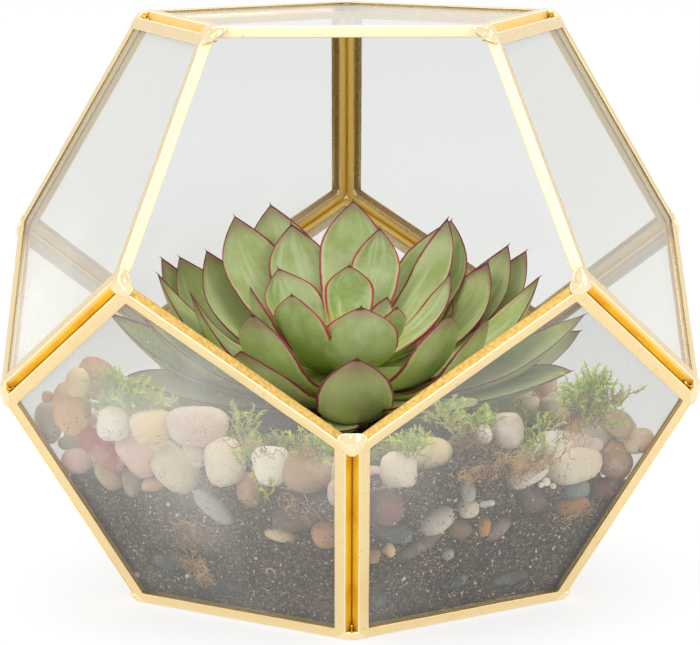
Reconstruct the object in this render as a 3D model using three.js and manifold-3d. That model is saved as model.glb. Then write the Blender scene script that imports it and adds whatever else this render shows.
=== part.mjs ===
// A dodecahedron terrarium of brass-framed glass, open at its upper front face,
// with soil, river pebbles, moss and one succulent rosette. Millimetres, +Z up.
// The front, with the window, faces -Y. The origin is the middle of the base, on the surface it stands on.

import * as THREE from 'three';
import { mergeVertices } from 'three/addons/utils/BufferGeometryUtils.js';
import Module from 'manifold-3d';

const wasm = await Module();
wasm.setup();

// ---- Driving dimensions ----

const EDGE = 80; // inner edge of every pentagon
const PANE_DEPTH = 3.5; // thickness of a framed pane, across its came
const CAME_FACE = 3.8; // width of brass seen on the face of a pane
const CAME_WEB = 0.9; // brass between the glass's edge and the next pane
const GLASS = 2; // sheet glass
const GAP = 0.3; // clearance between solids that touch on the real object
const SEAM = 0.18; // each pane is this much short of the true edge
const BEAD_RADIUS = 2.7; // solder at a corner
const BEAD_OUT = 1.2; // how far its middle stands outside the true corner

const SOIL_SHELF = 29; // height of the ledge that the pebbles lie on
const SOIL_TOP = 49.5; // height of the soil round the plant
const BANK_WIDTH = 14; // from the glass to the soil behind the pebbles
const BANK_TOP = 56; // height of the grit between the pebbles
const GRIT_SET_BACK = 2.6; // the pebbles stand this far out of the grit

const STEM_RADIUS = 6;
const STEM_FOOT = 24; // height of the stem's lower end in the soil
const CORE_RADIUS = 9; // the stem above the soil, where the leaves grow from
const CORE_FOOT = 54;
const CORE_SHOULDER = 66;
const CROWN_RADIUS = 4;
const CROWN_HEIGHT = 74;
const HEART_BACK = 5; // the rosette sits this far behind the middle

// ---- The dodecahedron ----

const GOLDEN = (1 + Math.sqrt(5)) / 2;
const FIFTH = (2 * Math.PI) / 5;
const APOTHEM = EDGE / (2 * Math.tan(FIFTH / 2));
const LOW_RADIUS = EDGE / (2 * Math.sin(FIFTH / 2)); // base and top corners
const MID_RADIUS = LOW_RADIUS * GOLDEN; // the ten corners between
const FACE_DISTANCE = (EDGE * GOLDEN ** 2) / (2 * Math.sqrt(3 - GOLDEN));
const CASE_HEIGHT = 2 * FACE_DISTANCE;
const LOW_CORNER_HEIGHT = LOW_RADIUS; // in this solid the two are equal
const HIGH_CORNER_HEIGHT = MID_RADIUS;
const FACE_LEAN = Math.atan(0.5); // slope of the side faces' normals
const FOOT = PANE_DEPTH * Math.sin(FACE_LEAN); // the lower cames reach this far below the base's true plane
const CENTRE = new THREE.Vector3(0, 0, FACE_DISTANCE);

const TINY = 1e-6; // keeps a division at a leaf's very end off zero
const degrees = THREE.MathUtils.degToRad;

/** The direction at an azimuth, counted from the front towards the right, and an elevation, in degrees. */
function direction(azimuth, elevation) {
  const a = degrees(azimuth);
  const e = degrees(elevation);
  return new THREE.Vector3(Math.sin(a) * Math.cos(e), -Math.cos(a) * Math.cos(e), Math.sin(e));
}

/** A point at a radius, azimuth and height. */
function around(radius, azimuth, height) {
  return direction(azimuth, 0).multiplyScalar(radius).setZ(height);
}

// ---- Solids ----

/** The closed solid inside a geometry, whose faces point out. */
function solidOf(geometry) {
  const bare = geometry.clone();
  bare.deleteAttribute('normal');
  bare.deleteAttribute('uv');
  const merged = mergeVertices(bare, 1e-4);
  return new wasm.Manifold(new wasm.Mesh({
    numProp: 3,
    vertProperties: new Float32Array(merged.attributes.position.array),
    triVerts: new Uint32Array(merged.index.array),
  }));
}

/** The geometry of a solid. */
function geometryOf(solid) {
  const mesh = solid.getMesh();
  const geometry = new THREE.BufferGeometry();
  geometry.setAttribute('position', new THREE.BufferAttribute(new Float32Array(mesh.vertProperties), 3));
  geometry.setIndex(new THREE.BufferAttribute(new Uint32Array(mesh.triVerts), 1));
  geometry.computeVertexNormals();
  return geometry;
}

/** All the solids joined as one. */
function joined(solids) {
  return solids.reduce((whole, solid) => whole.add(solid));
}

/** The largest body of a solid, with loose scraps dropped and sealed hollows filled. */
function mainBody(solid) {
  const bodies = solid.decompose().sort((a, b) => b.volume() - a.volume());
  return bodies[0];
}

/** A pentagon's corner radius from its apothem. */
function cornerRadius(apothem) {
  return apothem / Math.cos(FIFTH / 2);
}

/** An upright pentagon frustum with a corner towards the front, from corner radii at two heights. */
function frustum(lowRadius, highRadius, low, high) {
  return solidOf(new THREE.CylinderGeometry(highRadius, lowRadius, high - low, 5)
    .rotateX(Math.PI / 2)
    .translate(0, 0, (low + high) / 2));
}

/** The corner radius inside the lower half of the case at a height, a set distance in from the glass. */
function wallRadius(height, inset) {
  const slope = (MID_RADIUS - LOW_RADIUS) / LOW_CORNER_HEIGHT;
  return LOW_RADIUS + height * slope - cornerRadius(inset) / Math.cos(FACE_LEAN);
}

/** The space inside the lower half of the case between two heights, a set distance in from the glass. */
function well(low, high, inset) {
  return frustum(wallRadius(low, inset), wallRadius(high, inset), low, high);
}

// ---- Materials ----

function finish(color, roughness, metalness) {
  return new THREE.MeshStandardMaterial({ color, roughness, metalness });
}

const brass = finish(0xe0b557, 0.3, 1);
const solder = finish(0xe8c878, 0.25, 1);
const clearGlass = finish(0xe6eae8, 0.05, 0);
clearGlass.transparent = true;
clearGlass.opacity = 0.3;
const pottingSoil = finish(0x3b322b, 0.95, 0);
const pebbleStone = finish(0xc9b49a, 0.6, 0);
const mossGreen = finish(0x6f8f2e, 0.9, 0);
const leafGreen = finish(0x7f9f6a, 0.45, 0);

const terrarium = new THREE.Group();
terrarium.name = 'glass_terrarium';
terrarium.position.z = FOOT;

function place(name, geometry, material, parent = terrarium) {
  const mesh = new THREE.Mesh(geometry, material);
  mesh.name = name;
  parent.add(mesh);
}

// ---- Panes: a pentagon of glass in its ring of U-channel came ----

// Each face by name, its azimuth, and its ring: -1 for a lower face, 1 for an upper one.
const SIDE_FACES = [
  ['lower_front_left', -36, -1],
  ['lower_front_right', 36, -1],
  ['lower_left', -108, -1],
  ['lower_right', 108, -1],
  ['lower_back', 180, -1],
  ['upper_left', -72, 1],
  ['upper_right', 72, 1],
  ['upper_back_left', -144, 1],
  ['upper_back_right', 144, 1],
];

/** A turned frame on a face: +Z out of the case, +Y towards the corner opposite the flat edge. */
function faceFrame(azimuth, ring) {
  const out = direction(azimuth, ring * THREE.MathUtils.radToDeg(FACE_LEAN));
  const apex = new THREE.Vector3(0, 0, -ring).addScaledVector(out, out.z * ring).normalize();
  const frame = new THREE.Matrix4().makeBasis(apex.clone().cross(out), apex, out);
  return frame.setPosition(CENTRE.clone().addScaledVector(out, FACE_DISTANCE));
}

/** A flat frame on the base or the top, with a corner towards the front or the back. */
function levelFrame(up, height) {
  const out = new THREE.Vector3(0, 0, up);
  const apex = new THREE.Vector3(0, up, 0);
  return new THREE.Matrix4().makeBasis(apex.clone().cross(out), apex, out).setPosition(0, 0, height);
}

const PANES = SIDE_FACES.map(([name, azimuth, ring]) => ({
  name,
  frame: faceFrame(azimuth, ring),
  apothem: APOTHEM - SEAM,
}));
PANES.push({ name: 'top', frame: levelFrame(1, CASE_HEIGHT), apothem: APOTHEM - SEAM });
// The base lies inside the foot of the lower panes, level with their lowest edges.
PANES.push({ name: 'base', frame: levelFrame(-1, PANE_DEPTH - FOOT), apothem: APOTHEM - GAP });

/** A ring of U channel with mitred corners, its web outside and its groove facing the glass. */
function cameGeometry(apothem) {
  const outer = cornerRadius(apothem);
  const window = cornerRadius(apothem - CAME_FACE);
  const grooveFloor = cornerRadius(apothem - CAME_WEB);
  const half = PANE_DEPTH / 2;
  const groove = GLASS / 2 + GAP;
  const profile = [
    [window, -half],
    [outer, -half],
    [outer, half],
    [window, half],
    [window, groove],
    [grooveFloor, groove],
    [grooveFloor, -groove],
    [window, -groove],
    [window, -half],
  ];
  const section = profile.map(([x, y]) => new THREE.Vector2(x, y));
  return new THREE.LatheGeometry(section, 5).rotateX(-Math.PI / 2).translate(0, 0, half);
}

/** A pentagon plate centred on the middle of the pane's depth. */
function plateGeometry(apothem, thickness) {
  return new THREE.CylinderGeometry(cornerRadius(apothem), cornerRadius(apothem), thickness, 5)
    .rotateX(-Math.PI / 2)
    .translate(0, 0, PANE_DEPTH / 2);
}

for (const pane of PANES) {
  const holder = new THREE.Group();
  holder.applyMatrix4(pane.frame);
  terrarium.add(holder);
  place(`came_${pane.name}`, cameGeometry(pane.apothem), brass, holder);
  place(`glass_${pane.name}`, plateGeometry(pane.apothem - CAME_WEB - GAP, GLASS), clearGlass, holder);
}

// ---- Solder: a bead in the groove at each corner of the case ----

const paneEnvelopes = PANES.map((pane) => (
  solidOf(plateGeometry(pane.apothem + GAP, PANE_DEPTH + 2 * GAP).applyMatrix4(pane.frame))
));
const framedPanes = joined(paneEnvelopes);

// Everything above the surface that the case stands on.
const HEADROOM = 400;
const aboveFloor = solidOf(new THREE.BoxGeometry(HEADROOM, HEADROOM, HEADROOM)
  .translate(0, 0, HEADROOM / 2 - FOOT + GAP));

const BEAD_SIDES = 8;
const BEAD_STEPS = 5;

/** The bead at a corner, shaped by the panes that meet there. */
function beadGeometry(corner) {
  const outward = corner.clone().sub(CENTRE).normalize();
  const middle = corner.clone().addScaledVector(outward, BEAD_OUT);
  const ball = new THREE.SphereGeometry(BEAD_RADIUS, BEAD_SIDES, BEAD_STEPS);
  ball.rotateX(Math.PI / 2).translate(middle.x, middle.y, middle.z);
  return geometryOf(mainBody(solidOf(ball).subtract(framedPanes).intersect(aboveFloor)));
}

const CORNER_RINGS = [
  ['base', LOW_RADIUS, 0, 0],
  ['low', MID_RADIUS, 0, LOW_CORNER_HEIGHT],
  ['high', MID_RADIUS, 36, HIGH_CORNER_HEIGHT],
  ['top', LOW_RADIUS, 36, CASE_HEIGHT],
];
for (const [ring, radius, start, height] of CORNER_RINGS) {
  for (let i = 0; i < 5; i += 1) {
    const corner = around(radius, start + 72 * i, height);
    place(`solder_${ring}_${i + 1}`, beadGeometry(corner), solder);
  }
}

// ---- Soil: the case's own shape, with a ledge round it for the pebbles and a hole for the stem ----

const SOIL_FLOOR = PANE_DEPTH - FOOT + GAP;
const STEM_SIDES = 12;

/** The soil, or the space it takes with a clearance all round. */
function soilBody(clearance) {
  const lower = well(SOIL_FLOOR, SOIL_SHELF + clearance, GAP);
  const upper = well(SOIL_SHELF - 1, SOIL_TOP + clearance, BANK_WIDTH - clearance);
  return lower.add(upper);
}

/** A solid turned round the stem's upright axis, from its radii and heights. */
function roundStem(profile) {
  const section = profile.map(([radius, height]) => new THREE.Vector2(radius, height));
  return solidOf(new THREE.LatheGeometry(section, STEM_SIDES)
    .rotateX(Math.PI / 2)
    .translate(0, HEART_BACK, 0));
}

const HOLE_RADIUS = STEM_RADIUS + GAP;
const HOLE_FLOOR = STEM_FOOT - GAP;
const stemHole = roundStem([
  [0, HOLE_FLOOR],
  [HOLE_RADIUS, HOLE_FLOOR],
  [HOLE_RADIUS, SOIL_TOP + 1],
  [0, SOIL_TOP + 1],
]);
place('soil', geometryOf(soilBody(0).subtract(stemHole)), pottingSoil);

// ---- Pebbles: a bank on each side, stones standing out of the grit between them ----

// A seeded draw between 0 and 1.
let seed = 7;
function draw() {
  seed = (seed * 16807) % 2147483647;
  return seed / 2147483647;
}

// Stones seen through the two front panes: place along the pane and height, width, height, lean in degrees.
const FRONT_LEFT_STONES = [
  [-48, 63, 12, 16, 0],
  [-32, 76, 10, 11, 0],
  [-57, 57, 8, 12, 0],
  [-51, 46, 11, 9, 0],
  [-40, 51, 15, 9, -45],
  [-32, 60, 11, 11, 0],
  [-17, 61, 13, 11, 0],
  [-27, 50, 11, 13, 0],
  [-3, 60, 19, 17, -10],
  [-15, 46, 15, 14, -25],
  [7, 52, 13, 15, 0],
  [25, 53, 12, 12, 0],
  [14, 43, 9, 10, 0],
  [40, 53, 14, 12, 20],
  [-2, 37, 13, 9, -20],
  [29, 38, 11, 10, 0],
];
const FRONT_RIGHT_STONES = [
  [-38, 53, 11, 11, 0],
  [-28, 58, 13, 9, 10],
  [0, 61, 11, 11, 0],
  [15, 46, 12, 10, 0],
  [35, 44, 17, 12, 15],
  [50, 46, 10, 12, 0],
  [56, 51, 9, 8, 0],
  [44, 58, 8, 8, 0],
  [50, 36, 11, 9, 0],
  [36, 36, 10, 8, 0],
  [-38, 42, 10, 11, 0],
  [-32, 34, 13, 8, 0],
  [-16, 36, 10, 9, 0],
  [-10, 46, 8, 9, 0],
  [-6, 37, 8, 8, 0],
  [20, 36, 9, 8, 0],
];

const ROWS = [[-44, 40], [-36, 56]]; // each row's first stone along the pane, and its height
const ROW_END = 44;
const STONE_PITCH = 15;

/** Stones for a side that the photo doesn't show, in two staggered rows. */
function drawnStones() {
  const stones = [];
  for (const [first, height] of ROWS) {
    for (let along = first; along <= ROW_END; along += STONE_PITCH) {
      const width = 11 + 6 * draw();
      const tall = width * (0.7 + 0.2 * draw());
      stones.push([along + 3 * draw(), height + 5 * draw(), width, tall, 40 * draw() - 20]);
    }
  }
  return stones;
}

/** The frame on the inner side of a lower pane: +X to its right seen from outside, +Y up, +Z out. */
function paneSide(azimuth) {
  return new THREE.Matrix4()
    .makeRotationZ(degrees(azimuth))
    .multiply(new THREE.Matrix4().makeTranslation(0, -APOTHEM, 0))
    .multiply(new THREE.Matrix4().makeRotationX(Math.PI / 2 + FACE_LEAN));
}

const STONE_DEPTH = 0.9; // into the case, as a share of a stone's smaller side
const STONE_TURN = 0.4; // turns the facets off the level

/** One stone, or the space it takes with a clearance, lying against the pane. */
function stoneBody([along, height, width, tall, lean], azimuth, clearance) {
  const deep = Math.min(width, tall) * STONE_DEPTH;
  const up = height / Math.cos(FACE_LEAN);
  const shape = new THREE.SphereGeometry(0.5, 7, 5)
    .rotateZ(STONE_TURN)
    .scale(width + 2 * clearance, tall + 2 * clearance, deep + 2 * clearance)
    .rotateZ(degrees(lean))
    .translate(along, up, -deep / 2 - GAP)
    .applyMatrix4(paneSide(azimuth));
  return solidOf(shape);
}

/** The wedge of the case behind one lower pane, a little narrower than a fifth. */
function sector(azimuth) {
  const reach = MID_RADIUS * 2;
  const half = reach * Math.tan(FIFTH / 2);
  const outline = new THREE.Shape([
    new THREE.Vector2(0, -GAP),
    new THREE.Vector2(half, -reach),
    new THREE.Vector2(-half, -reach),
  ]);
  return solidOf(new THREE.ExtrudeGeometry(outline, { depth: CASE_HEIGHT, bevelEnabled: false })
    .rotateZ(degrees(azimuth)));
}

const BANK_FOOT = SOIL_SHELF + GAP;
const grit = well(BANK_FOOT, BANK_TOP, GRIT_SET_BACK)
  .subtract(well(BANK_FOOT - 1, BANK_TOP + 1, BANK_WIDTH - 2 * GAP));
const glassWell = well(BANK_FOOT, LOW_CORNER_HEIGHT + 1, GAP);
const UPPER_RADIUS = MID_RADIUS - 3; // keeps what stands above the low corners off the glass
const aboveWell = frustum(UPPER_RADIUS, UPPER_RADIUS, LOW_CORNER_HEIGHT, HIGH_CORNER_HEIGHT);
const bankSpace = glassWell.add(aboveWell).subtract(soilBody(GAP));

const BANKS = [
  ['front_left', -36, FRONT_LEFT_STONES],
  ['front_right', 36, FRONT_RIGHT_STONES],
  ['left', -108, drawnStones()],
  ['right', 108, drawnStones()],
  ['back', 180, drawnStones()],
];
for (const [name, azimuth, stones] of BANKS) {
  const bodies = stones.map((stone) => stoneBody(stone, azimuth, 0));
  const bank = joined([grit, ...bodies]).intersect(bankSpace).intersect(sector(azimuth));
  place(`pebbles_${name}`, geometryOf(mainBody(bank)), pebbleStone);
}

// The space that the stones take, with a clearance, which the moss keeps out of.
const stonesTaken = joined(BANKS.flatMap(([, azimuth, stones]) => (
  stones.map((stone) => stoneBody(stone, azimuth, GAP))
)));

// ---- Rosette: leaves round a short stem ----

// The leaves that the photo shows, by whorl from the heart out. Each has the azimuth and elevation of its
// chord in degrees, its length and width, and its bend: how far it sags under its chord and turns up at
// its tip. The leaves that point at the viewer are bent most, so that their undersides show.
const WHORLS = [
  { height: 71, leaves: [[179, 46, 34, 20, 0.3], [138, 44, 26, 9, 0.3], [33, 37, 34, 15, 0.4]] },
  {
    height: 68,
    leaves: [[158, 57, 50, 20, 0.3], [-130, 45, 42, 22, 0.3], [6, 37, 42, 25, 0.6], [-30, 39, 46, 22, 0.5]],
  },
  {
    height: 66,
    leaves: [
      [177, 57, 62, 22, 0.3],
      [-150, 50, 58, 23, 0.3],
      [126, 34, 48, 21, 0.35],
      [-54, 40, 50, 16, 0.4],
      [-125, 31, 52, 18, 0.35],
    ],
  },
  {
    height: 64,
    leaves: [
      [128, 50, 64, 20, 0.3],
      [136, 44, 68, 26, 0.3],
      [-127, 47, 68, 26, 0.3],
      [-147, 48, 70, 26, 0.3],
      [112, 31, 56, 21, 0.35],
      [41, 30, 54, 25, 0.55],
      [-38, 30, 56, 27, 0.6],
    ],
  },
  {
    height: 61,
    leaves: [
      [2, 20, 58, 24, 0.65],
      [110, 39, 62, 24, 0.35],
      [-114, 40, 66, 24, 0.35],
      [-118, 32, 74, 26, 0.35],
      [115, 37, 72, 23, 0.35],
      [51, 28, 62, 25, 0.5],
      [-68, 33, 64, 25, 0.45],
      [114, 33, 76, 23, 0.35],
      [79, 32, 72, 27, 0.4],
      [-115, 30, 78, 20, 0.35],
      [-76, 33, 74, 23, 0.4],
    ],
  },
  {
    height: 58,
    leaves: [
      [70, 22, 84, 28, 0.26],
      [-74, 22, 84, 28, 0.26],
      [-64, 24, 78, 28, 0.26],
      [-33, 22, 66, 25, 0.3],
    ],
  },
  {
    height: 57,
    leaves: [
      [61, 12, 80, 26, 0.12],
      [-62, 11, 80, 25, 0.12],
      [33, 8, 70, 23, 0.12],
      [18, 13, 66, 22, 0.15],
      [-2, 8, 64, 20, 0.12],
    ],
  },
];

// Leaves of the far side, which the others hide: evenly spread in two layers.
const FAR_LEAVES = [
  {
    height: 60,
    elevation: 33,
    length: 74,
    width: 25,
    bend: 0.35,
    azimuths: [152, 176, 200],
  },
  {
    height: 57,
    elevation: 16,
    length: 78,
    width: 27,
    bend: 0.2,
    azimuths: [96, 122, 148, 174, 200, 226, 252],
  },
];

const LEAF_SIDES = 6;
const LEAF_STEPS = 8;
const LEAF_THICKNESS = 4.6;
const LEAF_THINNING = 0.6; // what it loses of that towards the tip
const LEAF_ABOVE = 0.25; // share of the thickness above the leaf's middle: flat above, full below
const LEAF_CUP = 0.22; // how far its edges stand up, as a share of half its width
const LEAF_ROOT = 4; // a leaf starts this far from the stem's axis, inside the stem
const WIDEST = 0.72; // where a leaf is widest, as a share of its length
const SHOULDER = 2.8; // how full its outline is between there and the tip
const ROOT_SHARE = 0.5; // how wide its root is, as a share of its width
const HEART_TILT = 16; // lean of the rosette towards the front, in degrees, which rolls its side leaves

/** Half the width of a leaf at a place from its root, 0, to its tip, 1, as a share of its full width. */
function leafHalfWidth(s) {
  if (s < WIDEST) {
    return 0.5 * (ROOT_SHARE + (1 - ROOT_SHARE) * Math.sin((Math.PI / 2) * (s / WIDEST)));
  }
  return 0.5 * (1 - ((s - WIDEST) / (1 - WIDEST)) ** SHOULDER);
}

/** The thickness of a leaf there: full at the root, thin before the tip. */
function leafThickness(s) {
  return LEAF_THICKNESS * (1 - LEAF_THINNING * s) * Math.min(1, 3 * (1 - s) + 0.05);
}

/** One leaf: a ball drawn out to a flat, cupped blade with a point, curling up along its length. */
function leafBody([azimuth, elevation, length, width, bend], height) {
  const lean = degrees(elevation);
  const roll = degrees(-HEART_TILT * Math.sin(degrees(azimuth)));
  const shape = new THREE.SphereGeometry(1, LEAF_SIDES, LEAF_STEPS).rotateX(Math.PI / 2);
  const position = shape.attributes.position;
  for (let i = 0; i < position.count; i += 1) {
    const s = (position.getZ(i) + 1) / 2;
    const belt = Math.sqrt(Math.max(TINY, 1 - position.getZ(i) ** 2));
    const over = position.getY(i) / belt;
    const share = over > 0 ? LEAF_ABOVE : 1 - LEAF_ABOVE;
    const half = width * leafHalfWidth(s);
    const side = (position.getX(i) / belt) * half;
    const rise = over * share * leafThickness(s) + (LEAF_CUP * side ** 2) / Math.max(half, TINY);
    const across = side * Math.cos(roll) + rise * Math.sin(roll);
    const up = rise * Math.cos(roll) - side * Math.sin(roll);
    const sag = length * bend * (s ** 3 - s);
    const turn = lean + Math.atan(bend * (3 * s * s - 1));
    const out = LEAF_ROOT + (length - LEAF_ROOT) * s;
    position.setXYZ(
      i,
      across,
      up * Math.sin(turn) + sag * Math.sin(lean) - out * Math.cos(lean),
      out * Math.sin(lean) + sag * Math.cos(lean) + up * Math.cos(turn),
    );
  }
  return solidOf(shape.rotateZ(degrees(azimuth)).translate(0, HEART_BACK, height));
}

const stem = roundStem([
  [0, STEM_FOOT],
  [STEM_RADIUS, STEM_FOOT],
  [STEM_RADIUS, SOIL_TOP + 1],
  [CORE_RADIUS, CORE_FOOT],
  [CORE_RADIUS, CORE_SHOULDER],
  [CROWN_RADIUS, CROWN_HEIGHT],
  [0, CROWN_HEIGHT],
]);

const leaves = [];
for (const whorl of WHORLS) {
  for (const leaf of whorl.leaves) {
    leaves.push(leafBody(leaf, whorl.height));
  }
}
for (const { height, elevation, length, width, bend, azimuths } of FAR_LEAVES) {
  for (const azimuth of azimuths) {
    leaves.push(leafBody([azimuth, elevation, length, width, bend], height));
  }
}
place('rosette', geometryOf(mainBody(joined([stem, ...leaves]))), leafGreen);

// ---- Moss: tufts of sprigs on the banks ----

const MOSS_CORE_SHARE = 0.6; // the core's reach, as a share of the tuft's
const MOSS_CLEARANCE = 1; // from the glass
const SPRIG_COUNT = 16;
const SPRIG_TURNS = 3; // times that the sprigs go round the tuft
const SPRIG_RADIUS = 0.9;
const STEEPEST = 0.15; // lean of the first sprig from upright, in radians
const FLATTEST = 1.3; // and of the last

/** A tuft standing on the grit, its sprigs fanning out of a small core. */
function tuftBody([radius, azimuth, spread, tall]) {
  const foot = around(radius, azimuth, BANK_TOP + GAP);
  const reach = spread * MOSS_CORE_SHARE;
  const pad = new THREE.SphereGeometry(1, 7, 4)
    .rotateX(Math.PI / 2)
    .scale(reach, reach, tall * MOSS_CORE_SHARE);
  const bodies = [solidOf(pad)];
  for (let i = 0; i < SPRIG_COUNT; i += 1) {
    const turn = (i + draw()) * (2 * Math.PI / SPRIG_COUNT) * SPRIG_TURNS;
    const lean = STEEPEST + (FLATTEST - STEEPEST) * (i / SPRIG_COUNT);
    const reachOut = spread * Math.sin(lean) + tall * Math.cos(lean);
    const length = reachOut * (0.85 + 0.15 * draw());
    const sprig = new THREE.ConeGeometry(SPRIG_RADIUS, length, 3)
      .rotateX(Math.PI / 2)
      .translate(0, 0, length / 2)
      .rotateY(lean)
      .rotateZ(turn);
    bodies.push(solidOf(sprig));
  }
  return joined(bodies).translate(foot.x, foot.y, foot.z);
}

const mossWell = well(BANK_TOP + GAP, LOW_CORNER_HEIGHT + 1, MOSS_CLEARANCE);
const mossSpace = mossWell.add(aboveWell).subtract(stonesTaken);

// Each tuft's place from the middle, its azimuth, its spread and its height.
const TUFTS = [
  ['front_left', [79, -47, 9, 17]],
  ['front_near_left', [79, -20, 7, 10]],
  ['front_near_right', [79, 22, 7, 9]],
  ['front_right', [80, 51, 9, 18]],
  ['back', [80, 160, 9, 12]],
];
for (const [name, tuft] of TUFTS) {
  place(`moss_${name}`, geometryOf(mainBody(tuftBody(tuft).intersect(mossSpace))), mossGreen);
}

export default terrarium;
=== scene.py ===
# %% [markdown]
# # A glass terrarium with one succulent
#
# The real object is a faceted case of brass-framed glass, open at its upper front face. It holds dark
# potting soil, river pebbles, moss and a red-edged rosette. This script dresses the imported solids: it
# loads them as a fixed frame, puts finer pieces in their place and gives every surface its finish.

import math
import random

import bmesh
import bpy
from mathutils import Matrix, Vector, noise


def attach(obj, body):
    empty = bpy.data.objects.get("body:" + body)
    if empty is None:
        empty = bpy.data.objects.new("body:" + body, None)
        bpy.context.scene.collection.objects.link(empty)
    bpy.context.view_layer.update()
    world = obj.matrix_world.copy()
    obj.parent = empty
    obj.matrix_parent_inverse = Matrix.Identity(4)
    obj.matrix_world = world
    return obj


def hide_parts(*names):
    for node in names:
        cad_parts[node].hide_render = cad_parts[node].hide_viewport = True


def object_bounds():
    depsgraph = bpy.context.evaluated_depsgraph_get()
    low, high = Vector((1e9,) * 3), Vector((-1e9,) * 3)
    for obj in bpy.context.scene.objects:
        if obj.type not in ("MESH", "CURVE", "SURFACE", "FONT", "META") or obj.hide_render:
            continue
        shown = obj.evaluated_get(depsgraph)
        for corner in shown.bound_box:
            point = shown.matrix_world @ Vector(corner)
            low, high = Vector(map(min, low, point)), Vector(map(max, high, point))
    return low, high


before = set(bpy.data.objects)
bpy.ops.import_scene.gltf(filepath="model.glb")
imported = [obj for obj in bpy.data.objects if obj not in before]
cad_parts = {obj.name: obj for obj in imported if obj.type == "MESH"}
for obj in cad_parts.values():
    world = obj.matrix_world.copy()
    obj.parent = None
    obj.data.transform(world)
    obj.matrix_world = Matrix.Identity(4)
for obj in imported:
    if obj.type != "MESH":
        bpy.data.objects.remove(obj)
cad_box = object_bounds()
print("solids loaded:", len(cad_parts), "box:", cad_box)

# %% [markdown]
# All pieces are worked out in millimetres, from the same driving dimensions as the solids, with the
# base's true plane at height zero. The case is a regular dodecahedron, so a few lengths give all its
# corners. One matrix at the end turns a piece into metres and sets it on its foot.

# %% Dimensions and the case's corners
EDGE = 80.0  # inner edge of every pentagon
PANE_DEPTH = 3.5  # thickness of a framed pane
GAP = 0.3  # between the glass and what lies against it
SOIL_TOP = 49.5  # the soil's height in the middle
HEART_BACK = 5.0  # the rosette sits this far behind the middle

GOLDEN = (1 + math.sqrt(5)) / 2
FIFTH = math.tau / 5
APOTHEM = EDGE / (2 * math.tan(FIFTH / 2))
LOW_RADIUS = EDGE / (2 * math.sin(FIFTH / 2))
MID_RADIUS = LOW_RADIUS * GOLDEN
FACE_DISTANCE = EDGE * GOLDEN**2 / (2 * math.sqrt(3 - GOLDEN))
CASE_HEIGHT = 2 * FACE_DISTANCE
FACE_LEAN = math.atan(0.5)
FOOT = PANE_DEPTH * math.sin(FACE_LEAN)
CENTRE = Vector((0, 0, FACE_DISTANCE))
TO_METRES = Matrix.Scale(0.001, 4) @ Matrix.Translation((0, 0, FOOT))


def around(radius, azimuth, height):
    """A point at a radius, an azimuth from the front towards the right, and a height."""
    a = math.radians(azimuth)
    return Vector((radius * math.sin(a), -radius * math.cos(a), height))


CORNERS = {}
for ring, radius, start, height in (
    ("base", LOW_RADIUS, 0, 0),
    ("low", MID_RADIUS, 0, LOW_RADIUS),
    ("high", MID_RADIUS, 36, MID_RADIUS),
    ("top", LOW_RADIUS, 36, CASE_HEIGHT),
):
    for i in range(5):
        CORNERS[f"{ring}_{i + 1}"] = around(radius, start + 72 * i, height)
print("case:", round(2 * MID_RADIUS, 1), "mm across,", round(CASE_HEIGHT, 1), "mm high")

# %% [markdown]
# The twelve faces of the case are kept as their outward directions, and its thirty edges as pairs of
# corners. Frames, solder and grooves are all placed by them.

# %% Faces of the case
LEAN_Z = math.sin(FACE_LEAN)
WINDOW = Vector((0, -math.cos(FACE_LEAN), LEAN_Z))
FACES = [Vector((0, 0, 1)), Vector((0, 0, -1))]
for k in range(5):
    low = around(math.cos(FACE_LEAN), 36 + 72 * k, 0)
    high = around(math.cos(FACE_LEAN), 72 * k, 0)
    FACES += [low - Vector((0, 0, LEAN_Z)), high + Vector((0, 0, LEAN_Z))]


def faces_at(*points):
    """The outward directions of the faces that hold all the points."""
    return [
        face
        for face in FACES
        if all(abs((point - CENTRE).dot(face) - FACE_DISTANCE) < 0.5 for point in points)
    ]


def is_window(face):
    return (face - WINDOW).length < 0.1


EDGES = [
    (first, second)
    for first in CORNERS.values()
    for second in CORNERS.values()
    if abs((second - first).length - EDGE) < 0.5 and tuple(first) < tuple(second)
]
SEAMS = [  # the edges where two frames meet
    (first, second, faces_at(first, second))
    for first, second in EDGES
    if not any(is_window(face) for face in faces_at(first, second))
]
print("edges of the case:", len(EDGES), "of which seams:", len(SEAMS))

# %% [markdown]
# The camera stands where the photographer's stood: a metre away, a little above the case's middle and
# almost square to it. Its three directions come from an azimuth, an elevation and a slight roll.

# %% Camera
CAMERA_AZIMUTH = math.radians(-0.44)
CAMERA_ELEVATION = math.radians(9.29)
CAMERA_ROLL = math.radians(0.15)
CAMERA_DISTANCE = 1003.3
FOCAL_PIXELS = 3151.9
FRAME_WIDTH = 700
AIM = Vector((0.28, 0.0, 83.68))

VIEW = (  # its axes: right, up and back
    Matrix.Rotation(CAMERA_AZIMUTH, 3, "Z")
    @ Matrix.Rotation(math.pi / 2 - CAMERA_ELEVATION, 3, "X")
    @ Matrix.Rotation(-CAMERA_ROLL, 3, "Z")
)
lens = bpy.data.cameras.new("photo_camera")
lens.sensor_width = 36
lens.lens = FOCAL_PIXELS / FRAME_WIDTH * lens.sensor_width
camera = bpy.data.objects.new("photo_camera", lens)
place = TO_METRES @ (AIM + VIEW.col[2] * CAMERA_DISTANCE)
camera.matrix_world = Matrix.Translation(place) @ VIEW.to_4x4()
bpy.context.scene.collection.objects.link(camera)
bpy.context.scene.camera = camera
print("camera at", tuple(round(v, 3) for v in camera.location), "lens", round(lens.lens, 1))

# %% [markdown]
# The studio is a pale floor under a pale sky with large soft lamps. Brass shows little of its own
# colour: it mirrors the room, so the lamps are wide, and they stand on both sides and above.

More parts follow.
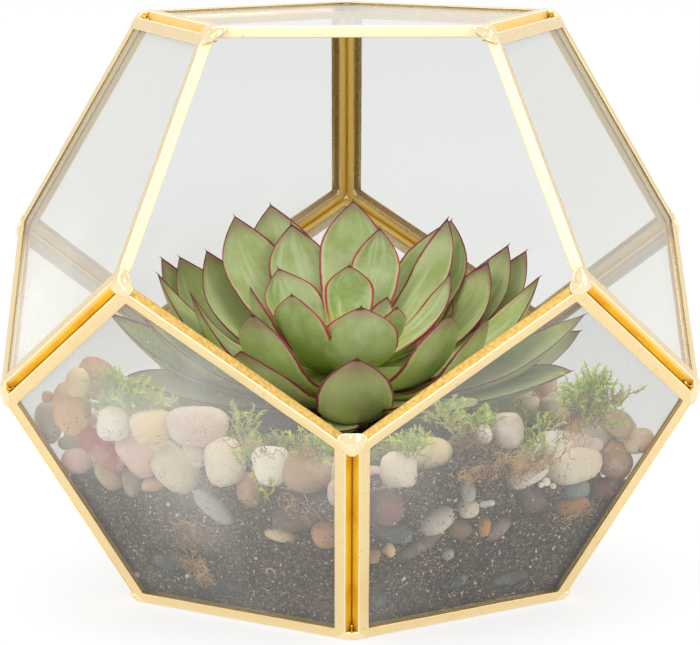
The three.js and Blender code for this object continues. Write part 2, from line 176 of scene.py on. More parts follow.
# %% Floor, sky and lamps
bm = bmesh.new()
bmesh.ops.create_grid(bm, x_segments=1, y_segments=1, size=9)
floor_mesh = bpy.data.meshes.new("studio_floor")
bm.to_mesh(floor_mesh)
bm.free()
floor = bpy.data.objects.new("studio_floor", floor_mesh)
bpy.context.scene.collection.objects.link(floor)

sky = bpy.data.worlds.new("studio_sky")
sky.use_nodes = True
sky.node_tree.nodes["Background"].inputs["Color"].default_value = (1, 1, 1, 1)
sky.node_tree.nodes["Background"].inputs["Strength"].default_value = 0.95
bpy.context.scene.world = sky
bpy.context.scene.view_settings.view_transform = "Standard"

LAMP_AIM = Vector((0, 0, 0.09))  # in metres, as are the places and sizes of the lamps
for name, place, size, power in (
    ("lamp_left", (-1.3, -1.1, 1.2), 1.0, 16),
    ("lamp_right", (1.5, -0.7, 0.9), 0.9, 9),
    ("lamp_above", (0, 0.3, 1.8), 1.2, 12),
):
    light = bpy.data.lights.new(name, "AREA")
    light.size = size
    light.energy = power
    light.color = (1.0, 0.955, 0.89)
    lamp = bpy.data.objects.new(name, light)
    lamp.location = place
    lamp.rotation_euler = (LAMP_AIM - Vector(place)).to_track_quat("-Z", "Y").to_euler()
    bpy.context.scene.collection.objects.link(lamp)

# %% [markdown]
# Finishes are written as sums. A `Value` wraps one socket of a material, so an expression such as
# `1 - dust * 0.5` adds its Math nodes by itself. A `Finish` is a material with one method that adds any
# other node.

# %% Shader values and finishes
class Value:
    """One socket of a finish, for shader maths."""

    def __init__(self, finish, socket):
        self.finish = finish
        self.socket = socket

    def maths(self, operation, first, second=0.0):
        return self.finish.node("ShaderNodeMath", {"operation": operation}, {0: first, 1: second})

    def __add__(self, other):
        return self.maths("ADD", self, other)

    __radd__ = __add__

    def __rsub__(self, other):
        return self.maths("SUBTRACT", other, self)

    def __mul__(self, other):
        return self.maths("MULTIPLY", self, other)

    __rmul__ = __mul__

    def __pow__(self, other):
        return self.maths("POWER", self, other)

    def rise(self, low, high):
        """0 below low and 1 above high, with a soft step between; falls where low is above high."""
        settings = {"interpolation_type": "SMOOTHSTEP"}
        values = {"Value": self, "From Min": low, "From Max": high}
        return self.finish.node("ShaderNodeMapRange", settings, values)

    def larger(self, other):
        return self.maths("MAXIMUM", self, other)


class Finish:
    """A material whose nodes are added from values."""

    def __init__(self, name, **sockets):
        self.material = bpy.data.materials.new(name)
        self.material.use_nodes = True
        self.tree = self.material.node_tree
        self.shader = self.tree.nodes["Principled BSDF"]
        for socket, value in sockets.items():
            self.shader.inputs[socket.replace("_", " ")].default_value = value

    def put(self, socket, value):
        if isinstance(value, Value):
            self.tree.links.new(value.socket, socket)
        else:
            socket.default_value = value

    def node(self, kind, settings, values, output=0):
        """A node of a kind with its settings, then its sockets' values or links; one of its outputs."""
        made = self.tree.nodes.new(kind)
        for name, value in settings.items():
            setattr(made, name, value)
        for name, value in values.items():
            self.put(made.inputs[name], value)
        return Value(self, made.outputs[output])

    def surface(self, **values):
        for name, value in values.items():
            self.put(self.shader.inputs[name.replace("_", " ")], value)

    def place(self):
        return self.node("ShaderNodeTexCoord", {}, {}, "Object")

    def coordinate(self, axis):
        return self.node("ShaderNodeSeparateXYZ", {}, {0: self.place()}, axis)

    def attribute(self, name, output="Fac"):
        return self.node("ShaderNodeAttribute", {"attribute_name": name}, {}, output)

    def clouds(self, scale, detail=3.0, rough=0.55, where=None):
        values = {"Vector": where or self.place(), "Scale": scale, "Detail": detail, "Roughness": rough}
        return self.node("ShaderNodeTexNoise", {}, values)

    def cells(self, scale, where=None):
        values = {"Vector": where or self.place(), "Scale": scale}
        return self.node("ShaderNodeTexVoronoi", {}, values, "Distance")

    def mix(self, share, first, second):
        """A share of the way from one colour to another, each a value or a paint's screen values."""
        first, second = (paint(*end) if isinstance(end, tuple) else end for end in (first, second))
        values = {0: share, 6: first, 7: second}
        return self.node("ShaderNodeMix", {"data_type": "RGBA"}, values, 2)

    def coats(self, colour, *coats):
        """A colour under coats, each of which is a share and a colour of its own."""
        for share, coat in coats:
            colour = self.mix(share, colour, coat)
        return colour

    def bump(self, height, depth):
        """A relief from a height of 0 to 1 that stands for a depth in millimetres."""
        values = {"Height": height, "Distance": depth * 0.001}
        self.surface(Normal=self.node("ShaderNodeBump", {}, values, "Normal"))


def paint(*screen):
    """A colour from screen values of 0 to 255."""
    return tuple(((c / 255 + 0.055) / 1.055) ** 2.4 if c > 10 else c / 3295 for c in screen) + (1,)


paper = Finish(
    "floor_paper", Base_Color=(0.2, 0.2, 0.2, 1), Roughness=0.9,
    Emission_Color=(1, 1, 1, 1), Emission_Strength=0.74,
)
floor_mesh.materials.append(paper.material)

# %% [markdown]
# Every piece is made in a bmesh, becomes a mesh object at the origin, and rides on the part's one body.
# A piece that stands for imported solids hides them. Shared helpers copy a solid, and sow copies of a small
# mesh. The numbers in a bmesh's layers, such as the distance from a leaf's margin, become attributes that a
# finish can read.

# %% Making pieces
def add_piece(name, bm, finish, nodes=(), smooth=True, placed=True):
    """The finished object of a bmesh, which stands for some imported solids."""
    if placed:
        bmesh.ops.transform(bm, matrix=TO_METRES, verts=bm.verts)
    mesh = bpy.data.meshes.new(name)
    bm.to_mesh(mesh)
    bm.free()
    mesh.shade_smooth() if smooth else mesh.shade_flat()
    mesh.materials.append(finish.material)
    piece = bpy.data.objects.new(name, mesh)
    bpy.context.scene.collection.objects.link(piece)
    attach(piece, "root")
    if nodes:
        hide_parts(*nodes)
    print(name, len(mesh.polygons), "faces")
    return piece


def solid_copy(name):
    """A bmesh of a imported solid, its loose triangles merged into the faces that they came from."""
    bm = bmesh.new()
    bm.from_mesh(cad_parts[name].data)
    bmesh.ops.remove_doubles(bm, verts=bm.verts, dist=1e-6)
    bmesh.ops.join_triangles(
        bm, faces=bm.faces, angle_face_threshold=0.01, angle_shape_threshold=math.pi
    )
    return bm


def sown(template, matrix, bm):
    """Adds one placed copy of a small mesh to a bmesh."""
    copy = template.copy()
    copy.transform(matrix)
    bm.from_mesh(copy)
    bpy.data.meshes.remove(copy)


def edges_over(bm, length):
    return [edge for edge in bm.edges if edge.calc_length() > length]


def template_of(bm, name):
    mesh = bpy.data.meshes.new(name)
    bm.to_mesh(mesh)
    bm.free()
    return mesh


# %% [markdown]
# ## Brass
#
# Each pane has its own frame of folded brass channel. Polished brass has rounded folds that catch a
# bright line, and its faces are a little uneven. The imported solid has sharp folds, so a copy gets a
# small bevel on every fold, a narrower inner flange and many cuts, and is pushed about by a slow noise of
# less than a tenth of a millimetre. The finish is a metal of brass colour with faint, browner stains. Its
# folds carry a painted highlight, a paler and less metallic colour, and its inner side carries painted
# shade, a deeper and less metallic colour. Its outer walls are rough: grainy below and pale above.

# %% Brass finish
brass = Finish("polished_brass", Metallic=1.0)
wall = brass.attribute("wall")
# The inner side is painted a deeper, less metallic brass: painted shade.
inner = brass.attribute("inner")
# Fold faces get a painted highlight: a paler, less metallic brass.
fold_highlight = brass.attribute("fold_highlight")
above_floor = brass.coordinate("Z")
grit = brass.clouds(900, 3, 0.7)
stain = brass.clouds(38, 4, 0.6).rise(0.52, 0.75)
speck = brass.clouds(420, 2).rise(0.64, 0.74)
wear = brass.clouds(140, 3)
grainy = brass.mix(grit.rise(0.35, 0.65), (192, 158, 86), (218, 186, 112))
upper_wall = wall * above_floor.rise(0.108, 0.118)
brass.surface(
    Base_Color=brass.coats(
        (246, 220, 166),
        (stain * 0.4, (234, 194, 120)),
        (wall, brass.mix(upper_wall, grainy, (252, 236, 196))),
        (inner, (236, 198, 104)),
        (fold_highlight * 0.8, (255, 246, 222)),
        (speck * 0.3, (206, 160, 92)),
    ),
    Metallic=1 - 0.55 * inner.larger(upper_wall).larger(fold_highlight),
    Roughness=0.2 + 0.14 * wear + 0.1 * stain + 0.3 * wall + 0.15 * inner,
)
brass.bump(brass.clouds(110, 3), 0.12)

# %% Brass frames
FOLD = 0.00032  # bevel along every fold
LONG_CUTS = 18  # along every side
WAVER = 0.00007  # how far the faces stray from flat
INNER_LIP = 2.8  # width of a frame's inner flange
DEEP_LIP = 1.9  # the same where it lies in the soil


def sharp_folds(bm):
    return [e for e in bm.edges if len(e.link_faces) == 2 and e.calc_face_angle() > math.radians(20)]


def narrow_lip(bm, face, kept):
    """Moves the free edge of a frame's inner flange until a kept width is left."""
    sides = [(other - face * other.dot(face)).normalized() for other in FACES if 0.4 < other.dot(face) < 0.5]
    for vert in bm.verts:
        spot = TO_METRES.inverted() @ vert.co - CENTRE
        flat = spot - face * spot.dot(face)
        reach = max(flat.dot(side) for side in sides)
        if spot.dot(face) < FACE_DISTANCE + 1 and reach < APOTHEM - 3:
            vert.co = TO_METRES @ (CENTRE + spot - flat + flat * (APOTHEM - kept) / reach)


for node in sorted(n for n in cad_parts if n.startswith("came_")):
    bm = solid_copy(node)
    centre = sum((vert.co for vert in bm.verts), Vector()) / len(bm.verts)
    face_out = max(FACES, key=lambda face: (centre - TO_METRES @ CENTRE).dot(face))
    narrow_lip(bm, face_out, DEEP_LIP if face_out.z < 0 else INNER_LIP)
    bmesh.ops.bevel(
        bm, geom=sharp_folds(bm), offset=FOLD, segments=2, profile=0.5, affect="EDGES", material=-1
    )
    bmesh.ops.subdivide_edges(bm, edges=edges_over(bm, 0.05), cuts=LONG_CUTS, use_grid_fill=True)
    names = ("wall", "inner", "fold_highlight")
    wall_layer, inner_shade_layer, fold_highlight_layer = (bm.faces.layers.float.new(name) for name in names)
    bm.normal_update()
    for face in bm.faces:
        spot = face.calc_center_median() - TO_METRES @ CENTRE
        flat = spot - face_out * spot.dot(face_out)
        sideways = abs(face.normal.dot(face_out)) < 0.5
        outwards = face.normal.dot(flat) > 0.01
        inside = 1000 * spot.dot(face_out) < FACE_DISTANCE + PANE_DEPTH / 2
        face[wall_layer] = float(sideways and outwards)
        # A fold's faces get the painted highlight.
        face[fold_highlight_layer] = float(outwards and 0.3 < face.normal.dot(face_out) < 0.95)
        # The inner side's faces get the painted shade.
        face[inner_shade_layer] = float(inside and not sideways)
    for vert in bm.verts:
        vert.co += noise.noise_vector(vert.co * 90) * WAVER
        vert.co.z = max(vert.co.z, 0.0)
    add_piece(node.replace("came", "brass"), bm, brass, [node], placed=False)

# %% [markdown]
# Seen from inside, the frames almost meet, and dark flux is left in the seam between them. A thin strip
# at the foot of each groove stands for it and for the shade there, so its dark colour is partly flux and
# partly painted shade. It keeps daylight from showing through.

# %% Flux and painted shade in the seams
flux_and_shade = Finish("flux_and_shade_in_the_seam", Roughness=0.7)
# Dark brown, partly flux and partly painted shade at the foot of the groove.
flux_and_shade.surface(Base_Color=flux_and_shade.mix(flux_and_shade.clouds(300), (78, 52, 20), (138, 98, 40)))
SEAM_STRIP_WIDTH = 0.36
SEAM_STRIP_THICKNESS = 0.1
SEAM_STRIP_LIFT = 0.16  # above the edge of the case


def add_bar(bm, spot, run, outward, sizes):
    """A box about a spot, with its length along a run; its vertices."""
    axes = Matrix((run.cross(outward), run, outward)).transposed().to_4x4()
    place = Matrix.Translation(spot) @ axes @ Matrix.Diagonal((*sizes, 1))
    return bmesh.ops.create_cube(bm, size=1, matrix=place)["verts"]


bm = bmesh.new()
for first, second, panes in SEAMS:
    over = (panes[0] + panes[1]).normalized()
    spot = (first + second) / 2 + over * SEAM_STRIP_LIFT
    add_bar(bm, spot, (second - first).normalized(), over, (SEAM_STRIP_WIDTH, EDGE - 4, SEAM_STRIP_THICKNESS))
add_piece("seam_flux_and_shade", bm, flux_and_shade, smooth=False)

# %% [markdown]
# Between two frames is a groove. Its walls mirror each other, so the brass in there looks a much deeper
# orange than on the faces, with a thin dark line where the frames meet. Light that bounces so often is slow
# to render. So each wall gets a thin liner of that deeper colour, and the two liners of a groove almost
# meet at its foot. Where an upper frame meets a lower one, its wall is paler towards the light.

# %% Groove liners
SEAM = 0.18  # each frame is this much short of the true edge
LINER = 0.13  # thickness
LINER_DEPTH = 3.2
LINER_START = 0.1  # how far out from the foot of the groove a liner starts
groove_brass = Finish("brass_in_the_groove", Metallic=1.0)
shadow = groove_brass.clouds(60, 4, 0.6)
groove_brass.surface(
    Base_Color=groove_brass.coats(
        (252, 220, 84),
        (shadow.rise(0.4, 0.7), (240, 194, 48)),
        (groove_brass.attribute("lit").rise(0.35, 1.0), (255, 240, 190)),
        # Liners of the grooves round the top face are paler: painted light from the sky.
        (groove_brass.attribute("sky_lit"), (246, 222, 160)),
    ),
    Roughness=0.42 + 0.2 * shadow,
)
bm = bmesh.new()
sky_lit = bm.verts.layers.float.new("sky_lit")
lit_layer = bm.verts.layers.float.new("lit")
for first, second, panes in SEAMS:
    if min(face.z for face in panes) < -0.9:
        continue
    run = (second - first).normalized()
    for face in panes:
        inward = run.cross(face)
        if inward.dot(CENTRE - first) < 0:
            inward = -inward
        spot = (first + second) / 2 + inward * (SEAM - LINER / 2 - 0.01)
        spot += face * (LINER_DEPTH / 2 + LINER_START)
        for vert in add_bar(bm, spot, run, face, (LINER, EDGE - 1.5, LINER_DEPTH)):
            # Liners round the top face are marked for their paler, painted light.
            vert[sky_lit] = float(any(pane.z > 0.9 for pane in panes))
            if face.z > 0 > min(pane.z for pane in panes):
                vert[lit_layer] = ((vert.co - first).dot(face) - LINER_START) / LINER_DEPTH
bmesh.ops.recalc_face_normals(bm, faces=bm.faces)
add_piece("groove_liners", bm, groove_brass, smooth=False)

# %% [markdown]
# ## Solder
#
# The frames are joined by hand: melted solder fills the ends of the grooves at each corner, gilded with the
# rest. It could be a boolean of balls and tubes, but liquid metal has no seams. So each blob is one ball
# about the corner. In every direction it reaches to just above the faces of the frames, but no further
# than a rounded cap, from which a leg runs out into each groove.

# %% Solder blobs
solder = Finish("gilded_solder", Metallic=1.0, Roughness=0.2)
pit = solder.clouds(700, 3).rise(0.6, 0.75)
solder.surface(
    Base_Color=solder.mix(pit * 0.5, (252, 232, 188), (222, 180, 116)),
    Roughness=0.16 + 0.14 * solder.clouds(260),
)
solder.bump(solder.clouds(300, 2), 0.12)

CAP = 5.3  # the solder's reach from a corner, over the faces
FLAT = 3.0  # its height straight out from a corner, where it ends flat
LIFT = 0.22  # its thickness on a frame's face beside the corner
FILM = 4.2  # how far it spreads over the face before it has thinned to nothing
LEAST_CAP = 1.2  # the same on the inside of the case
LEG_SHARPNESS = 80.0
LEG_RISE = 1.7  # a leg's height in its groove
LEG_LENGTHS = (2.5, 5.5)  # the shortest and the longest
BLEND = 14  # a higher power gives sharper edges between the parts
BUTTON = 3.1  # how much lower it is towards the open window


def step(value, low, high):
    share = max(0.0, min(1.0, (value - low) / (high - low)))
    return share * share * (3 - 2 * share)


def solder_reach(along, outward, faces, legs, seed):
    """How far the solder of a corner reaches in a direction."""
    cap = LEAST_CAP + (CAP - LEAST_CAP) * step(along.dot(outward), -0.15, 0.45)
    for leg, length in legs:
        cap += length * math.exp(LEG_SHARPNESS * (along.dot(leg) - 1))
    flat = FLAT + 0.25 * noise.noise(along * 2.2 + Vector((seed, 0, 0)))
    limits = [flat / max(0.05, along.dot(outward))]
    for face in faces:
        slant = along.dot(face)
        if is_window(face):
            cap -= BUTTON * step(slant, 0.35, 0.95)
        elif slant > 0.05:
            spread = PANE_DEPTH * math.sqrt(1 - min(1.0, slant) ** 2) / slant
            limits.append((PANE_DEPTH + LIFT * max(-1.0, 1 - (spread / FILM) ** 2)) / slant)
    limits.append(max(1.0, cap))
    return sum(limit**-BLEND for limit in limits) ** (-1 / BLEND)


LEAST, MOST = ([1000 * v for v in end] for end in cad_box)
LEAST[2], MOST[2] = GAP - FOOT, MOST[2] - FOOT

random.seed(11)
for name, corner in CORNERS.items():
    near = sorted(CORNERS.values(), key=lambda other: (other - corner).length)[1:4]
    legs = []
    for other in near:
        if any(is_window(face) for face in faces_at(corner, other)):
            continue
        run = (other - corner).normalized()
        over = ((corner + other) / 2 - CENTRE).normalized()
        legs.append(((run * 8 + over * LEG_RISE).normalized(), random.uniform(*LEG_LENGTHS)))
    outward = (corner - CENTRE).normalized()
    faces = faces_at(corner)
    bm = bmesh.new()
    bmesh.ops.create_icosphere(bm, subdivisions=5, radius=1)
    for vert in bm.verts:
        along = vert.co.normalized()
        spot = corner + along * solder_reach(along, outward, faces, legs, corner.x + corner.z)
        vert.co = [max(least, min(most, x)) for x, least, most in zip(spot, LEAST, MOST)]
    add_piece(f"solder_blob_{name}", bm, solder, [f"solder_{name}"])

# %% [markdown]
# ## Glass
#
# The panes are thin sheet. Glass that bends light would be slow and noisy here and adds nothing to a
# 2 mm sheet, so most of the surface is clear and the rest mirrors: more at a grazing angle, as real glass
# does, and more where there is haze from watering or specks of dust. Both are on the lower panes, where
# they are given a faint painted glow, for the light that they catch.

# %% Glass finish
glass = Finish("sheet_glass", Roughness=0.06, IOR=1.5, Emission_Strength=0.12)
above_floor = glass.coordinate("Z")
sideways = glass.coordinate("X")
mist = glass.clouds(13, 3, 0.55)
low_down = above_floor.rise(0.14, 0.08) * (0.5 + 0.5 * above_floor.rise(0.02, 0.06))
dust = glass.cells(520).rise(0.16, 0.06) * glass.clouds(60).rise(0.5, 0.62)
breath = (0.1 + 0.12 * mist.rise(0.42, 0.66)) * (0.3 + 0.7 * sideways.rise(0.04, -0.04))
haze = low_down * (breath + 0.35 * dust)
facing = glass.node("ShaderNodeLayerWeight", {}, {"Blend": 0.5}, "Facing")
mirror = 0.012 + 0.6 * facing**4
# A faint painted glow on the lower panes, standing in for light that their haze catches.
painted_glow = glass.mix(low_down, (0, 0, 0), (255, 255, 255))
glass.surface(Base_Color=paint(248, 246, 240), Emission_Color=painted_glow)
clear = glass.node("ShaderNodeBsdfTransparent", {}, {"Color": (0.886, 0.893, 0.891, 1)})
veil = Value(glass, glass.shader.outputs[0])
shown = glass.node("ShaderNodeMixShader", {}, {0: haze + mirror, 1: clear, 2: veil})
glass.put(glass.tree.nodes["Material Output"].inputs["Surface"], shown)
for node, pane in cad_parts.items():
    if node.startswith("glass_"):
        pane.data.materials.clear()
        pane.data.materials.append(glass.material)

# %% [markdown]
# ## Pebbles
#
# The stones are river pebbles, so each is a worn ball of its own proportions: flattened, blunt or pointed,
# and slightly lopsided. One finish serves them all. It reads a colour that each stone carries, and adds
# veins, pale patches, rust, freckles, dark dots, and soil that clings to the lower half.

# %% Pebble finish
stone_finish = Finish("river_pebble", Roughness=0.5)
body = stone_finish.attribute("stone_colour", "Color")
foot_of_stone = stone_finish.attribute("foot")
vein = stone_finish.clouds(90, 5, 0.65).rise(0.5, 0.72)
patch = stone_finish.clouds(150, 3, 0.5).rise(0.48, 0.66)
rust = stone_finish.clouds(230, 4, 0.7).rise(0.55, 0.7)
freckle = stone_finish.clouds(1700, 2).rise(0.62, 0.7)
dotty = stone_finish.clouds(190, 2).rise(0.41, 0.54) * (0.35 + 0.65 * foot_of_stone.rise(0.3, 0.7))
dots = stone_finish.cells(900).rise(0.16, 0.1) * dotty
clinging = stone_finish.clouds(260).rise(0.46, 0.6) * foot_of_stone.rise(0.3, 0.9)
dirt = stone_finish.cells(850).rise(0.34, 0.24) * clinging
stone_finish.surface(
    Base_Color=stone_finish.coats(
        body,
        (rust * 0.4, (200, 150, 96)),
        (vein * 0.3, (216, 184, 140)),
        (patch * 0.24, (246, 242, 232)),
        (freckle * 0.3, (112, 92, 74)),
        ((dots * 0.7).larger(dirt * 0.8), (62, 46, 36)),
    ),
    Roughness=0.4 + 0.25 * stone_finish.clouds(200),
)
stone_finish.bump(stone_finish.clouds(420, 4), 0.12)

# %% Pebble colours and places
WHITE, CREAM, IVORY, CHALK = (252, 244, 228), (232, 212, 174), (244, 226, 198), (222, 210, 192)
BEIGE, SAND, BLUSH, PINK = (220, 194, 178), (238, 220, 200), (240, 214, 188), (236, 192, 180)
PINK_GREY, RED, MAROON, BRICK = (206, 184, 172), (176, 50, 58), (146, 82, 80), (150, 92, 88)
TAN, OCHRE, YELLOW, ORANGE = (228, 180, 130), (200, 174, 134), (242, 214, 162), (218, 156, 98)
BROWN, UMBER, BARK, DUN = (194, 146, 104), (184, 146, 110), (120, 96, 80), (150, 124, 98)
GREY, FLINT, SLATE, TEAL = (188, 182, 170), (164, 148, 132), (132, 142, 140), (96, 110, 114)
CLAY, PEWTER, LICHEN, DEEP = (148, 118, 106), (130, 114, 102), (150, 142, 118), (72, 84, 84)
PALETTE = [WHITE, CREAM, BEIGE, PINK, TAN, YELLOW, BROWN, GREY, ORANGE, IVORY, UMBER, SAND, CHALK, BLUSH]

# Place along the pane and up it, width, height, lean, distance behind the glass and colour. Where they
# aren't the usual ones, the bluntness (below 1 is blunt) and the taper towards the top (or, below 0,
# towards the foot) follow.
USUAL_SHAPE = (0.85, 0)
FRONT_LEFT_STONES = [
    (-48.5, 60.1, 12, 17.3, 4, 0, TAN, 0.9), (-43.4, 68.1, 8.6, 9.2, 0, 4, YELLOW, 0.9),
    (-40.8, 66.7, 11.7, 13.5, 35, 8, BROWN, 0.9, 0.15), (-56.4, 63.4, 3.7, 3.7, 0, 4, ORANGE, 0.9),
    (-62.1, 53.1, 8.4, 13.7, 6, 2.5, GREY, 0.9), (-54.5, 47.9, 6.8, 4.7, 0, 3, LICHEN, 0.9),
    (-52.6, 42.8, 10, 8.7, 0, 0, PINK, 0.9), (-39.4, 48.8, 18.5, 8, -42, 0, RED),
    (-31.9, 57.9, 10.4, 11.3, -6, 0, WHITE, 0.72), (-17.1, 57.9, 13.3, 11.2, 0, 0, YELLOW, 0.8, -0.12),
    (-27.5, 46.8, 15.3, 10.1, -48, 1, PINK), (-1.1, 58.5, 18.9, 12.3, 0, 1.5, BEIGE, 0.8, -0.1),
    (-3, 52.8, 7.8, 13.9, 8, 2, BEIGE, 0.85, -0.15), (-13.7, 44, 17, 12.2, -40, 0, CREAM),
    (-41.8, 38.7, 11.8, 6.8, -52, 1.5, OCHRE), (-33, 37.6, 6.5, 9.6, 10, 1.5, FLINT, 0.8),
    (-24.5, 37.9, 7.4, 4.9, 0, 2, TAN), (7, 49.2, 12, 15.6, 8, 0, IVORY, 0.7, 0.05),
    (25.2, 50.5, 11.3, 12.1, 0, 0, WHITE, 0.78, -0.1), (13.2, 40.8, 7.8, 10.8, 12, 1.5, BROWN, 0.9, 0.1),
    (37, 48.6, 15.9, 12.7, 10, 1, UMBER), (-0.7, 34.8, 15.2, 6.4, -38, 0, GREY),
    (27.2, 33.3, 15, 10.2, 0, 1, BARK), (21.7, 28.5, 9.9, 4.2, -14, 0.5, YELLOW),
    (38.8, 30, 9.5, 8, 0, 0.5, ORANGE), (49.4, 46.2, 7, 7.9, 0, 0.5, BEIGE),
    (-28.1, 11.4, 11.3, 6.3, -10, 0.6, DEEP), (-13.6, 4.6, 18.7, 4.7, -10, 0.6, DEEP),
]
FRONT_RIGHT_STONES = [
    (-38.1, 51, 11.2, 10.9, 0, 0, SAND, 0.72), (-24.8, 52, 15.1, 9.8, 6, 3.5, CREAM),
    (1.8, 57.2, 10.5, 11.4, 0, 2, PINK_GREY, 0.9), (-6.5, 57, 4.8, 6, 0, 5, WHITE, 0.9),
    (13.3, 43.3, 14.6, 7.3, 27, 0, SAND), (33.9, 41.7, 18.5, 11.1, 13, 0, IVORY),
    (51.5, 41.3, 11.2, 12.5, 8, 1, UMBER, 0.9), (56.7, 48.4, 10, 7.8, 22, 0.5, BLUSH, 0.9),
    (49.2, 52.9, 9.9, 8.4, -35, 4, OCHRE, 0.9), (52.5, 31.9, 11.9, 7.5, 22, 1.5, MAROON, 0.8),
    (37.6, 34, 8.7, 6.5, 10, 1.5, SLATE, 0.8), (38, 28.1, 12.2, 6.2, 12, 1, ORANGE),
    (21.8, 31.7, 10.5, 9.3, 0, 2, BARK), (-37.9, 38.4, 12.4, 11.3, -20, 0.5, BRICK),
    (-32.8, 29.2, 13.7, 6, -8, 0.5, TEAL, 0.8), (-34.1, 25.8, 4.5, 3.9, -40, 0, YELLOW),
    (-39.4, 24.2, 6, 5.7, 0, 0.5, BROWN), (-17.2, 32.2, 11.7, 7.8, 38, 0, CHALK, 0.8),
    (-9.5, 42.3, 5.4, 9.6, 10, 0.5, GREY), (-6.4, 34.8, 6.9, 6.3, 0, 0.5, IVORY),
    (-0.9, 36.6, 5.1, 2.7, 10, 0.5, WHITE), (-6.3, 27.1, 7.9, 6.7, 0, 1, DUN),
    (2, 28.1, 4.3, 7.3, -8, 0.5, ORANGE), (9.3, 25.6, 10.4, 5.2, 45, 1, CLAY),
    (-21.2, 23.7, 16.3, 4.8, 30, 1, PEWTER), (-9.6, 20.5, 4.6, 4.3, 0, 0.5, GREY),
    (19.8, 41.3, 2.7, 2.7, 0, 0, WHITE, 0.9), (22.9, 39.7, 2.1, 1.8, 0, 0, WHITE, 0.9),
    (17.6, 40.9, 1.8, 1.8, 0, 0, WHITE, 0.9), (38.8, 48.2, 6.8, 4.6, 0, 3.5, BEIGE),
    (-54, 53.8, 4.6, 4.6, 0, 0, SAND), (-1.9, 8.9, 9.2, 4.3, 20, 0.6, DEEP),
    (20.4, 5.4, 15, 5, 14, 0.6, DEEP), (-30.8, 7.9, 5.4, 4.8, 10, 0.6, DEEP),
]


DRAWN_ROWS = ((-40, 33, 12), (-44, 42, 14), (-46, 50, 14))  # first place, height and size
DRAWN_SPACING = 13


def drawn_stones():
    """Stones for a side that the photo doesn't show, in three staggered rows."""
    stones = []
    for first, height, size in DRAWN_ROWS:
        for along in range(first, 1 - first, DRAWN_SPACING):
            width = size * random.uniform(0.8, 1.15)
            tall = width * random.uniform(0.65, 0.9)
            place = (along + random.uniform(-2, 2), height + random.uniform(-2, 3))
            lean = random.uniform(-35, 35)
            blunt = random.uniform(0.72, 0.92)
            depth = random.uniform(0, 2)
            stones.append((*place, width, tall, lean, depth, random.choice(PALETTE), blunt))
    return stones


# %% [markdown]
# A stone is described as it is seen: width, height and lean in the direction of view. So each stone has a
# frame of its own, whose axes are those of the view, turned with its pane. Its centre goes as far behind
# the glass as the stone reaches forward, so it touches the pane and never passes through.

# %% Where a stone lies
FLATNESS = 0.85  # a stone's depth, as a share of its smaller side


def pane_side(azimuth):
    """The frame on the inner side of a lower pane: X to its right seen from outside, Y up, Z out."""
    return (
        Matrix.Rotation(math.radians(azimuth), 4, "Z")
        @ Matrix.Translation((0, -APOTHEM, 0))
        @ Matrix.Rotation(math.pi / 2 + FACE_LEAN, 4, "X")
    )


def on_pane(azimuth, along, height, depth):
    """The frame of a spot on the inner side of a lower pane, a depth behind the glass."""
    up = height / math.cos(FACE_LEAN)
    return pane_side(azimuth) @ Matrix.Translation((along, up, -GAP - depth))


def stone_frame(stone, azimuth):
    """The matrix that turns a ball of radius 1 into a stone's rough shape in its place."""
    along, height, width, tall, lean, depth = stone[:6]
    seen_from = azimuth + (-36 if azimuth > 0 else 36)
    leaning = VIEW @ Matrix.Rotation(math.radians(lean), 3, "Z")
    axes = Matrix.Rotation(math.radians(seen_from), 3, "Z") @ leaning
    sizes = Vector((width, tall, min(width, tall) * FLATNESS)) / 2
    outward = pane_side(azimuth).to_3x3() @ Vector((0, 0, 1))
    reach = math.sqrt(sum((axes.col[i].dot(outward) * sizes[i]) ** 2 for i in range(3)))
    centre = on_pane(azimuth, along, height, reach + depth).to_translation()
    return Matrix.Translation(centre) @ axes.to_4x4() @ Matrix.Diagonal((*sizes, 1))


random.seed(5)
BANKS = {
    "front_left": (-36, FRONT_LEFT_STONES),
    "front_right": (36, FRONT_RIGHT_STONES),
    "left": (-108, drawn_stones()),
    "right": (108, drawn_stones()),
    "back": (180, drawn_stones()),
}
STONE_FRAMES = {
    name: [stone_frame(stone, azimuth) for stone in stones] for name, (azimuth, stones) in BANKS.items()
}

# %% Pebbles
def add_stone(bm, layers, stone, ball_frame, azimuth):
    """A worn stone in its frame, pressed flat where it would pass through the glass."""
    colour, *shape = stone[6:]
    blunt, taper = (*shape, *USUAL_SHAPE[len(shape) :])
    made = bmesh.ops.create_icosphere(bm, subdivisions=3, radius=1)["verts"]
    side = pane_side(azimuth)
    inward = side.inverted()
    seed = Vector((stone[0], stone[1], azimuth))
    for vert in made:
        full = Vector([math.copysign(abs(c) ** blunt, c) for c in vert.co])
        full.x *= 1 - taper * full.y
        push = 1 + 0.13 * noise.noise(vert.co * 0.9 + seed) + 0.05 * noise.noise(vert.co * 2.6 + seed)
        local = inward @ (ball_frame @ (full * push))
        local.z = min(local.z, -GAP)
        vert[layers["foot"]] = 0.5 - 0.5 * vert.co.y
        vert[layers["stone_colour"]] = paint(*colour)
        vert.co = side @ local


SPARE_STONES = 12  # on each side
SPARE_SPACING = 8.4
SPARE_RANGES = ((43, 47), (9, 13), (7, 9), (-30, 30), (6, 10))  # height up the pane, width and so on


def spare_stones():
    """Stones behind the first rows, seen from above."""
    return [
        (
            SPARE_SPACING * i - 46 + random.uniform(-2, 2),
            *(random.uniform(*ends) for ends in SPARE_RANGES),
            random.choice(PALETTE),
        )
        for i in range(SPARE_STONES)
    ]


